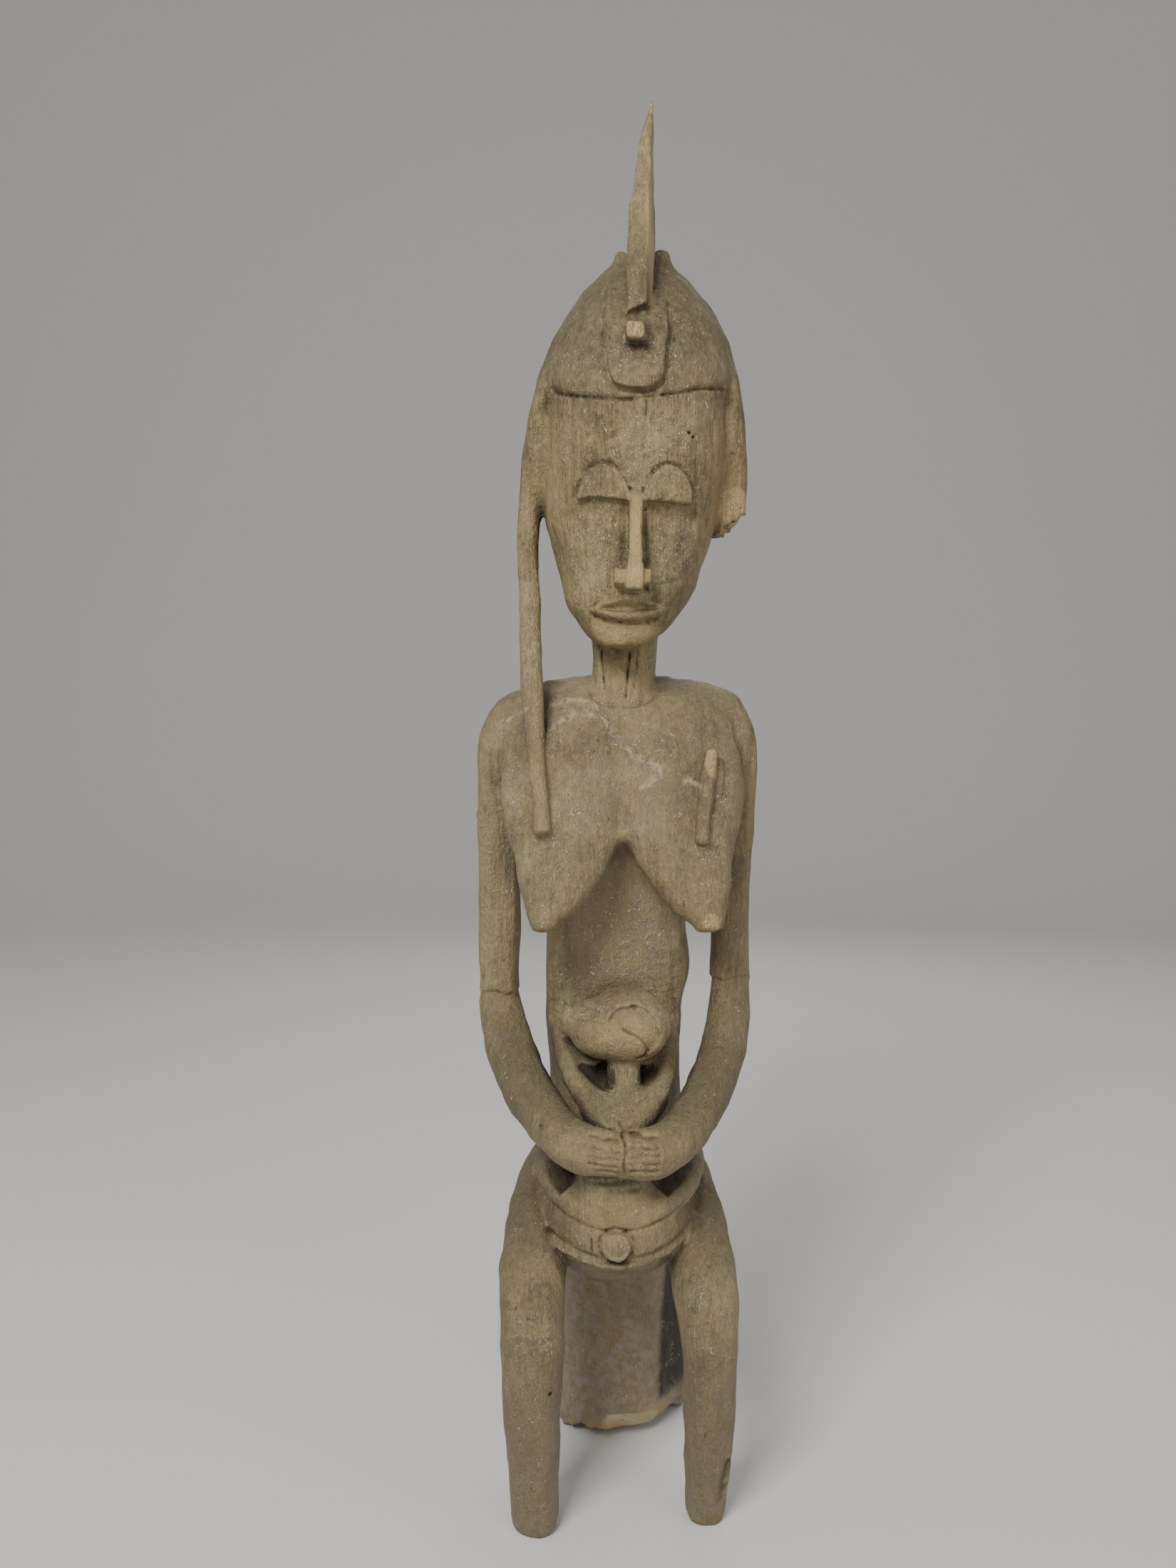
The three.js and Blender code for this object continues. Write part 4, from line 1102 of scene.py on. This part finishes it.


# Zones of wear, grime, colour and painted shade. Each zone: its middle and its reach along the axes, in
# shares, and its strength.

WARM = [
    (-52, -30, 712, 17, 70, 80, 0.9), (74, -30, 712, 17, 70, 80, 1), (-36, -50, 664, 14, 40, 34, 0.7),
    (-14, -58, 627, 20, 24, 14, 0.9), (52, -62, 795, 10, 20, 9, 0.8), (-101, 0, 450, 16, 34, 120, 1),
    (98, 0, 480, 14, 34, 110, 0.6), (-41, -92, 279, 11, 26, 14, 1), (-27, -62, 452, 14, 24, 24, 0.4),
    (62, -72, 442, 20, 26, 20, 0.6), (-4, -84, 344, 30, 22, 14, 0.6), (-62, -86, 70, 24, 30, 60, 0.6),
    (61, -70, 84, 22, 30, 70, 0.8), (0, -92, 236, 44, 24, 14, 0.5), (4, -24, 596, 28, 30, 34, 0.5),
    (40, -100, 279, 22, 26, 16, 0.4), (84, -8, 745, 16, 40, 40, 0.5), (-66, -10, 700, 14, 30, 60, 0.35),
    (-52, -76, 432, 14, 16, 12, 0.5), (76, 0, 560, 30, 40, 14, 0.3),
]
CRUST = [
    (24, -76, 750, 42, 24, 36, 1), (-20, -62, 684, 22, 30, 30, 0.9), (38, -62, 684, 24, 30, 32, 0.9),
    (10, -70, 808, 24, 20, 30, 1.1), (12, -70, 815, 70, 40, 46, 0.5), (-76, -40, 508, 16, 50, 48, 1),
    (-33, -64, 498, 20, 26, 20, 1), (-50, -42, 552, 16, 30, 28, 1), (-18, -36, 576, 34, 24, 18, 0.9),
    (6, -36, 578, 12, 18, 16, 1), (62, -72, 478, 24, 24, 16, 1), (70, -50, 524, 14, 34, 28, 0.6),
    (0, -26, 400, 60, 26, 76, 0.8), (-24, -72, 366, 18, 18, 13, 1), (24, -76, 362, 14, 18, 16, 0.9),
    (-58, -100, 150, 22, 22, 24, 0.9), (52, -98, 178, 20, 22, 28, 0.7), (0, -92, 196, 54, 30, 8, 0.6),
    (92, -14, 565, 20, 24, 16, 0.6), (20, -40, 545, 46, 30, 24, 0.6), (4, -62, 640, 34, 24, 14, 0.4),
    (-44, -70, 460, 30, 30, 40, 0.4),
]
FRESH = [
    (8.2, -87, 820.8, 11, 6, 11, 1.4), (82, -16, 716, 15, 24, 22, 1.3), (62.6, -55, 534, 7, 12, 18, 1.1),
    (61, -82, 428, 11, 12, 10, 0.8), (21.6, -27, 994, 6, 8, 20, 0.7),
]
RUBBED = [
    (9, -88, 690, 9, 18, 42, 1), (8, -90, 661, 18, 17, 12, 1.2), (2, -84, 352, 32, 22, 16, 0.5),
    (-2, 22, 8, 30, 24, 13, 1.1), (34, 28, 16, 34, 30, 15, 0.9), (0, -92, 228, 46, 24, 26, 0.3),
    (0, -30, 410, 52, 30, 70, 0.15), (4, -64, 622, 34, 24, 16, 0.8), (19.6, -52, 890, 5, 22, 80, 0.8),
    (4, -30, 600, 28, 30, 30, 0.4), (0, -100, 280, 40, 24, 18, 0.6), (2, -78, 640, 30, 12, 10, 0.35),
    (-56, -60, 540, 10, 30, 60, 0.3),
]
GREYED = [
    (0, -30, 410, 64, 44, 90, 0.6), (0, -40, 500, 90, 60, 70, 0.35), (0, -90, 215, 60, 40, 30, 0.35),
]
# Darker wood, and painted shade: the insides of the four cavities and the right leg's shadow on the stool's
# right facet.
DARK_AND_SHADE = [
    (72, -40, 540, 50, 60, 60, 0.4), (52, -60, 480, 40, 50, 70, 0.3), (-84, -12, 334, 26, 34, 38, 0.7),
    (78, -16, 336, 24, 34, 40, 0.7), (-60, -55, 300, 30, 40, 24, 0.45), (58, -55, 302, 30, 40, 24, 0.45),
    (60, 60, 84, 20, 40, 100, 1.2), (-52, 46, 90, 12, 30, 100, 0.6), (76, -40, 548, 26, 34, 34, 0.4),
    (-58, -40, 80, 60, 110, 120, 0.75), (58, -40, 80, 60, 110, 120, 0.75), (14, 0, 850, 140, 140, 80, 1),
    (-70, -44, 305, 50, 70, 60, 1), (70, -44, 305, 50, 70, 60, 1), (-70, -40, 220, 50, 80, 50, 1),
    (-44, -60, 252, 24, 24, 12, 1.5), (34, -62, 250, 20, 22, 10, 1.3), (-16, -55, 319, 14, 12, 12, 1.4),
    (16, -54, 319, 12, 11, 10, 1.3), (73, -74, 36, 9, 16, 24, 1.5), (-30, -84, 300, 20, 30, 10, 0.6),
    (30, -84, 300, 20, 30, 10, 0.6), (14, -20, 820, 120, 110, 60, 1.15), (66, -40, 216, 50, 80, 50, 0.7),
]

# Thin lines of pale crust across the chest, as seen from the front.
TRACES = [
    Line([[-50, 576], [-36, 580], [-25.6, 579], [-17, 576], [-8, 561], [3, 547], [10, 540], [15, 538],
     [28, 533], [33, 531]]),
    Line([[28, 533], [27, 527], [20, 522], [14, 519]], per_span=2),
    Line([[-90, 561], [-82, 565], [-74, 568], [-66, 573]], per_span=2),
    Line([[44, 524], [49, 523], [54, 520]], per_span=2),
    Line([[-48, 560], [-41, 566], [-30, 570], [-20, 569]], per_span=2),
]

FINE_REACH = 3                  # how far off the surface the fine hollows and edges are looked for, in shares
WIDE_REACH = 15                 # the same for the wide ones
FINE_LINE = 3                   # half the width of the widest line that holds grime and painted shade, in shares
FULL_LINE = 3                   # the depth from which a drawn line is wholly filled with grime and painted shade, in shares


def zoned(places, zones):
    """How strongly the places lie in any of the zones."""
    value = np.zeros(len(places))
    for *box, strength in zones:
        gap = np.sqrt((((places - np.array(box[:3])) / np.array(box[3:])) ** 2).sum(1))
        value = np.maximum(value, strength * fade(gap, 1.1, 0.3))
    return value


def on_stool(places):
    return fade(places[:, 1], 12, 24) * fade(places[:, 2], 170, 140)


def shaded_facet(places):
    """Painted shade on the facet on the right of the stool, which lies in the right leg's shadow."""
    border = 28.5 + 0.06 * places[:, 2]
    return 1.5 * on_stool(places) * fade(places[:, 0] - border, 0, 2.5) * fade(places[:, 2], 26, 34)


def chipped(places):
    """The pale break and bevel at the stool's front foot."""
    front = fade(places[:, 1], 60, 36) * fade(places[:, 0], -16, -4) * fade(places[:, 0], 36, 26)
    return 1.5 * on_stool(places) * front * fade(places[:, 2], 26, 18)


def traced(places):
    """How strongly the places lie on one of the thin lines of crust."""
    value = np.zeros(len(places))
    front = (places[:, 1] < 0) & (places[:, 2] > 500) & (places[:, 2] < 600)
    chosen = places[front]
    for line in TRACES:
        gap, _ = line.flat(chosen)
        value[front] = np.maximum(value[front], fade(gap, 2.2, 0.5))
    return value


def shade_in_cavities(places):
    """Where shade is painted: 1 on the walls of the four cavities, 0 outside them."""
    distance = np.min([cavity(places) for cavity in CAVITIES], axis=0)
    return fade(distance, 2.4, -0.6) * fade(places[:, 1], -40, -48)


def drawn(places):
    """How deep the deepest line is at each place, as a share of a full line."""
    value = np.zeros(len(places))
    for cut in grooves(places, FINE_LINE):
        value = np.maximum(value, cut)
    return value / FULL_LINE


def in_blocks(places, work):
    """Run work on the places, neighbours together, on all the threads."""
    block = np.floor(places / 30).astype(np.int64)
    order = np.lexsort((block[:, 2], block[:, 1], block[:, 0]))
    result = np.empty(len(places))
    with ThreadPoolExecutor(WORKERS) as pool:
        result[order] = np.concatenate(list(pool.map(work, np.array_split(places[order], 160))))
    return result


def paint(mesh):
    """Store for each vertex how hollow, worn and coloured the wood is there, and where shade is painted on
    it.
    """
    places = design_places(mesh)
    z = places[:, 2]
    outward = vertex_rows(mesh, "normal")
    values = {
        # Grime and painted shade in small hollows, and painted shade where the forms around shelter the
        # surface.
        "hollow": 1 - in_blocks(places + FINE_REACH * outward, carving) / FINE_REACH,
        "occluded_shade": 1 - in_blocks(places + WIDE_REACH * outward, bulk) / WIDE_REACH,
        "edge": 1 + in_blocks(places - FINE_REACH * outward, carving) / FINE_REACH,
        "warm": zoned(places, WARM),
        "crust": zoned(places, CRUST),
        "fresh": zoned(places, FRESH),
        "rubbed": zoned(places, RUBBED),
        # Darker wood, with painted shade in the cavities and on the stool's right facet.
        "dark_and_shade": zoned(places, DARK_AND_SHADE),
        # Painted shadow of the right leg on the stool's right facet.
        "shaded": shaded_facet(places),
        "trace": traced(places),
        # Grime and painted shade in the drawn lines.
        "line": in_blocks(places, drawn),
        "chip": chipped(places),
        # Painted shade on the walls of the four cavities.
        "cavity": in_blocks(places, shade_in_cavities),
        "stool": np.max([on_stool(places), 0.5 * fade(z, 190, 60), 0.2 * fade(z, 620, 580),
                         zoned(places, GREYED)], axis=0),
    }
    for name, value in values.items():
        layer = mesh.attributes.new(name, "FLOAT", "POINT")
        layer.data.foreach_set("value", np.clip(value, 0, 1.5).astype(np.float32))


# The wood. The functions below add nodes to its tree.

wood = bpy.data.materials.new("weathered_wood")
wood.use_nodes = True
tree = wood.node_tree


def add(kind, inputs, output=0, **settings):
    """Add a node. Inputs maps a socket's name or number to a value or to another node's output."""
    node = tree.nodes.new("ShaderNode" + kind)
    for name, value in settings.items():
        setattr(node, name, value)
    for key, value in inputs.items():
        if isinstance(value, bpy.types.NodeSocket):
            tree.links.new(value, node.inputs[key])
        else:
            node.inputs[key].default_value = value
    return node.outputs[output]


def stored(name):
    return add("Attribute", {}, output=2, attribute_name=name)


def calc(operation, a, b=0.0, c=0.0):
    return add("Math", {0: a, 1: b, 2: c}, operation=operation)


def times(a, b):
    return calc("MULTIPLY", a, b)


def plus(a, weight, b):
    """a times the weight, plus b."""
    return calc("MULTIPLY_ADD", a, weight, b)


def mixed(factor, a, b):
    """Colour a, turning into colour b as the factor goes from 0 to 1."""
    return add("Mix", {0: factor, 6: a, 7: b}, output=2, data_type="RGBA", clamp_factor=True)


def coated(colour, name, factor, coat):
    """The colour with a coat of another, as thick as the factor and the coat's strength say."""
    return mixed(times(factor, STRENGTH[name]), colour, coat)


def spots(where, scale, detail=2.0, roughness=0.5, distortion=0.0):
    inputs = {"Scale": scale, "Detail": detail, "Roughness": roughness, "Distortion": distortion}
    return add("TexNoise", {"Vector": where, **inputs})


def squeezed(where, height):
    """Places that make spots longer along the grain."""
    return add("Mapping", {"Vector": where, "Scale": (1, 1, height)})


def ramp(value, low, high):
    """0 below low, 1 above high and smooth between. Low may be the larger one."""
    inputs = {0: value, 1: low, 2: high, 3: 0.0, 4: 1.0}
    return add("MapRange", inputs, interpolation_type="SMOOTHSTEP")


def stripe(value, half):
    """1 where the value is near the middle of its range, 0 elsewhere: thin wandering lines."""
    off = calc("ABSOLUTE", calc("SUBTRACT", value, 0.5))
    return ramp(off, half, half * 0.3)


# Colours of the wood.
DEEP = (0.111, 0.083, 0.037, 1)
MIDDLE = (0.233, 0.180, 0.084, 1)
PALE = (0.360, 0.289, 0.152, 1)
BROWN = (0.270, 0.166, 0.070, 1)
BARE = (0.600, 0.446, 0.215, 1)
STRAW = (0.470, 0.335, 0.150, 1)
HONEY = (0.362, 0.252, 0.112, 1)
LIME = (0.620, 0.545, 0.360, 1)
SOOT = (0.020, 0.015, 0.009, 1)
# Near black, for painted shade and for grime.
SHADE_AND_GRIME = (0.034, 0.025, 0.014, 1)
MAUVE = (0.345, 0.292, 0.242, 1)
SHADE = (0.066, 0.050, 0.028, 1)

# How strongly each coat shows.
STRENGTH = {
    "warm": 0.85, "rust": 0.3, "stool": 0.8, "dark_and_shade": 0.75, "shaded": 0.66, "cavity": 0.8, "chip": 0.85,
    "rubbed": 0.85, "film": 0.30, "fleck": 0.66, "edge": 0.6, "fresh": 0.85, "hollow": 0.76, "lip": 0.5,
    "line": 0.6, "occluded_shade": 0.42, "crack": 0.6,
}

# Spots to the metre of each noise.
SCALE = {
    "cloud": 24, "streak": 300, "fibre": 700, "grit": 900, "dapple": 130, "patch": 70, "rust": 46,
    "group": 90, "speck": 760, "curl": 420, "crack": 480, "cluster": 30,
}

BUMP = 0.0018                   # height of the finest relief, in metres
SHINE = 0.42


def paint_wood():
    shader = tree.nodes["Principled BSDF"]
    where = add("TexCoord", {}, output=3)
    along = squeezed(where, 0.11)
    cloud = spots(where, SCALE["cloud"], 3)
    streak = spots(along, SCALE["streak"], 4, 0.65)
    fibre = spots(squeezed(where, 0.34), SCALE["fibre"], 3, 0.7, 0.6)
    grit = spots(where, SCALE["grit"], 2, 0.6)
    dapple = spots(where, SCALE["dapple"], 4, 0.62, 0.4)
    patch = spots(along, SCALE["patch"], 3, 0.6)

    # Base tone: soft clouds, streaks along the grain and a fine dapple.
    tone = plus(cloud, 0.42, plus(streak, 0.36, plus(fibre, 0.26, times(dapple, 0.32))))
    colour = mixed(ramp(tone, 0.52, 0.72), DEEP, MIDDLE)
    colour = mixed(ramp(tone, 0.66, 0.86), colour, PALE)

    # Warm brown where hands and rain have rubbed the grey off, in streaks.
    warm_tone = mixed(ramp(fibre, 0.30, 0.60), BROWN, HONEY)
    colour = coated(colour, "warm", times(stored("warm"), ramp(patch, 0.30, 0.62)), warm_tone)
    colour = coated(colour, "rust", ramp(spots(along, SCALE["rust"], 2), 0.58, 0.74), BROWN)

    # The stool's own tint, darker wood, and painted shade: the right leg's shadow on the stool's right facet
    # and the insides of the cavities.
    tinted = mixed(ramp(dapple, 0.3, 0.7), MAUVE, MIDDLE)
    colour = coated(colour, "stool", stored("stool"), tinted)
    colour = coated(colour, "dark_and_shade", times(stored("dark_and_shade"), plus(cloud, 0.7, 0.3)), SHADE)
    colour = coated(colour, "shaded", stored("shaded"), SHADE_AND_GRIME)
    colour = coated(colour, "cavity", stored("cavity"), SHADE_AND_GRIME)

    # Parts broken and rubbed pale.
    colour = coated(colour, "chip", ramp(plus(dapple, 0.6, stored("chip")), 0.6, 1.1), LIME)
    colour = coated(colour, "rubbed", times(stored("rubbed"), ramp(patch, 0.15, 0.5)), STRAW)

    # A thin pale film with short specks along the grain, faint curls of old crust and thin lines of it.
    crust = stored("crust")
    colour = coated(colour, "film", times(crust, ramp(dapple, 0.40, 0.66)), PALE)
    group = plus(crust, 0.17, spots(where, SCALE["group"], 3, 0.6))
    speck = ramp(spots(squeezed(where, 0.5), SCALE["speck"], 1), 0.57, 0.66)
    curl = times(stripe(spots(where, SCALE["curl"], 1, 0.5, 1.2), 0.08), 0.22)
    trace = times(stored("trace"), ramp(dapple, 0.36, 0.52))
    fleck = times(speck, ramp(group, 0.52, 0.66))
    fleck = calc("MAXIMUM", fleck, times(curl, ramp(group, 0.56, 0.70)))
    fleck = calc("MAXIMUM", fleck, times(trace, 0.7))
    colour = coated(colour, "fleck", fleck, LIME)

    # Wear on edges and bare wood in fresh breaks.
    edge = times(ramp(stored("edge"), 0.08, 0.40), ramp(dapple, 0.34, 0.58))
    colour = coated(colour, "edge", edge, PALE)
    fresh = ramp(plus(dapple, 0.5, stored("fresh")), 0.55, 0.95)
    colour = coated(colour, "fresh", fresh, mixed(ramp(fibre, 0.25, 0.6), BROWN, BARE))

    # Grime and painted shade in the hollows and in the drawn lines, which have pale lips, and painted shade
    # where the forms around shelter the surface.
    hollow = ramp(plus(dapple, 0.25, stored("hollow")), 0.34, 0.95)
    colour = coated(colour, "hollow", hollow, SHADE_AND_GRIME)
    lip = times(ramp(stored("line"), 0.0, 0.06), ramp(dapple, 0.5, 0.62))
    colour = coated(colour, "lip", lip, PALE)
    colour = coated(colour, "line", ramp(plus(dapple, 0.5, stored("line")), 0.46, 1.15), SHADE_AND_GRIME)
    colour = coated(colour, "occluded_shade", ramp(stored("occluded_shade"), 0.30, 1.05), SHADE_AND_GRIME)

    # A few short drying cracks along the grain.
    crack = ramp(spots(squeezed(where, 0.04), SCALE["crack"], 1), 0.27, 0.22)
    crack = times(crack, ramp(spots(where, SCALE["cluster"], 1), 0.50, 0.60))
    colour = coated(colour, "crack", crack, SOOT)
    tree.links.new(colour, shader.inputs["Base Color"])

    # Relief too fine for the mesh.
    height = times(streak, 0.8)
    height = plus(fibre, plus(fresh, 0.6, 1.0), height)
    for layer, weight in ((grit, 0.2), (dapple, 1.6), (fleck, 0.7), (crack, -1.2)):
        height = plus(layer, weight, height)
    bump = add("Bump", {"Strength": 1.0, "Distance": BUMP, "Height": height})
    tree.links.new(bump, shader.inputs["Normal"])

    rough = plus(hollow, 0.2, plus(dapple, 0.3, 0.40))
    tree.links.new(rough, shader.inputs["Roughness"])
    shader.inputs["Specular IOR Level"].default_value = SHINE


# The floor, the lights and the camera. Lengths here are in metres.

FLOOR = {"reach": 6, "bend": 2.6, "radius": 1.6, "colour": (0.72, 0.71, 0.69, 1), "roughness": 0.9}
WORLD = {"Color": (0.94, 0.93, 0.92, 1), "Strength": 0.42}
AIM = (0, 0, 0.6)               # where the lights point
# Each light: name, place, width and height, power in watts.
LIGHTS = [
    ("key", (-0.7, -1.6, 1.95), (0.8, 0.8), 48), ("fill", (1.4, -1.5, 1.0), (1.0, 1.4), 9),
    ("back", (0.3, 2.0, 1.6), (1.4, 1.4), 10),
]


def pale_floor():
    """A floor that sweeps up into a wall behind the figure."""
    mesh = bpy.data.meshes.new("floor")
    reach, bend, radius = FLOOR["reach"], FLOOR["bend"], FLOOR["radius"]
    profile = [(-reach, 0)]
    for angle in np.linspace(0, math.pi / 2, 17):
        profile.append((bend + radius * math.sin(angle), radius * (1 - math.cos(angle))))
    profile.append((bend + radius, reach))
    corners = [(x, y, z) for y, z in profile for x in (-reach, reach)]
    faces = [(2 * i, 2 * i + 1, 2 * i + 3, 2 * i + 2) for i in range(len(profile) - 1)]
    mesh.from_pydata(corners, [], faces)
    mesh.shade_smooth()
    floor = bpy.data.objects.new("floor", mesh)
    bpy.context.scene.collection.objects.link(floor)
    material = bpy.data.materials.new("pale_floor")
    material.use_nodes = True
    shader = material.node_tree.nodes["Principled BSDF"]
    shader.inputs["Base Color"].default_value = FLOOR["colour"]
    shader.inputs["Roughness"].default_value = FLOOR["roughness"]
    mesh.materials.append(material)


def soft_light(name, place, size, power):
    data = bpy.data.lights.new(name, "AREA")
    data.shape = "RECTANGLE"
    data.size, data.size_y = size
    data.energy = power
    light = bpy.data.objects.new(name, data)
    light.location = place
    light.rotation_euler = (Vector(AIM) - Vector(place)).to_track_quat("-Z", "Y").to_euler()
    bpy.context.scene.collection.objects.link(light)


def studio():
    world = bpy.data.worlds.new("studio")
    bpy.context.scene.world = world
    world.use_nodes = True
    for name, value in WORLD.items():
        world.node_tree.nodes["Background"].inputs[name].default_value = value
    for light in LIGHTS:
        soft_light(*light)


CAMERA = {"x": -23, "y": -871, "z": 564, "pitch": 3, "focal": 1652}
PHOTO = (1650, 2200)            # the image in pixels
SENSOR = 36                     # millimetres along the longer side


def add_camera():
    data = bpy.data.cameras.new("camera")
    data.sensor_width = SENSOR
    data.lens = SENSOR * CAMERA["focal"] / max(PHOTO)
    camera = bpy.data.objects.new("camera", data)
    camera.location = metres(CAMERA["x"], CAMERA["y"], CAMERA["z"])
    camera.rotation_euler = (math.radians(90 - CAMERA["pitch"]), 0, 0)
    bpy.context.scene.collection.objects.link(camera)
    bpy.context.scene.camera = camera


add_camera()
figure = build_carving()
paint(figure.data)
paint_wood()
figure.data.materials.append(wood)
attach(figure, "root")
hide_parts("figure")
pale_floor()
studio()
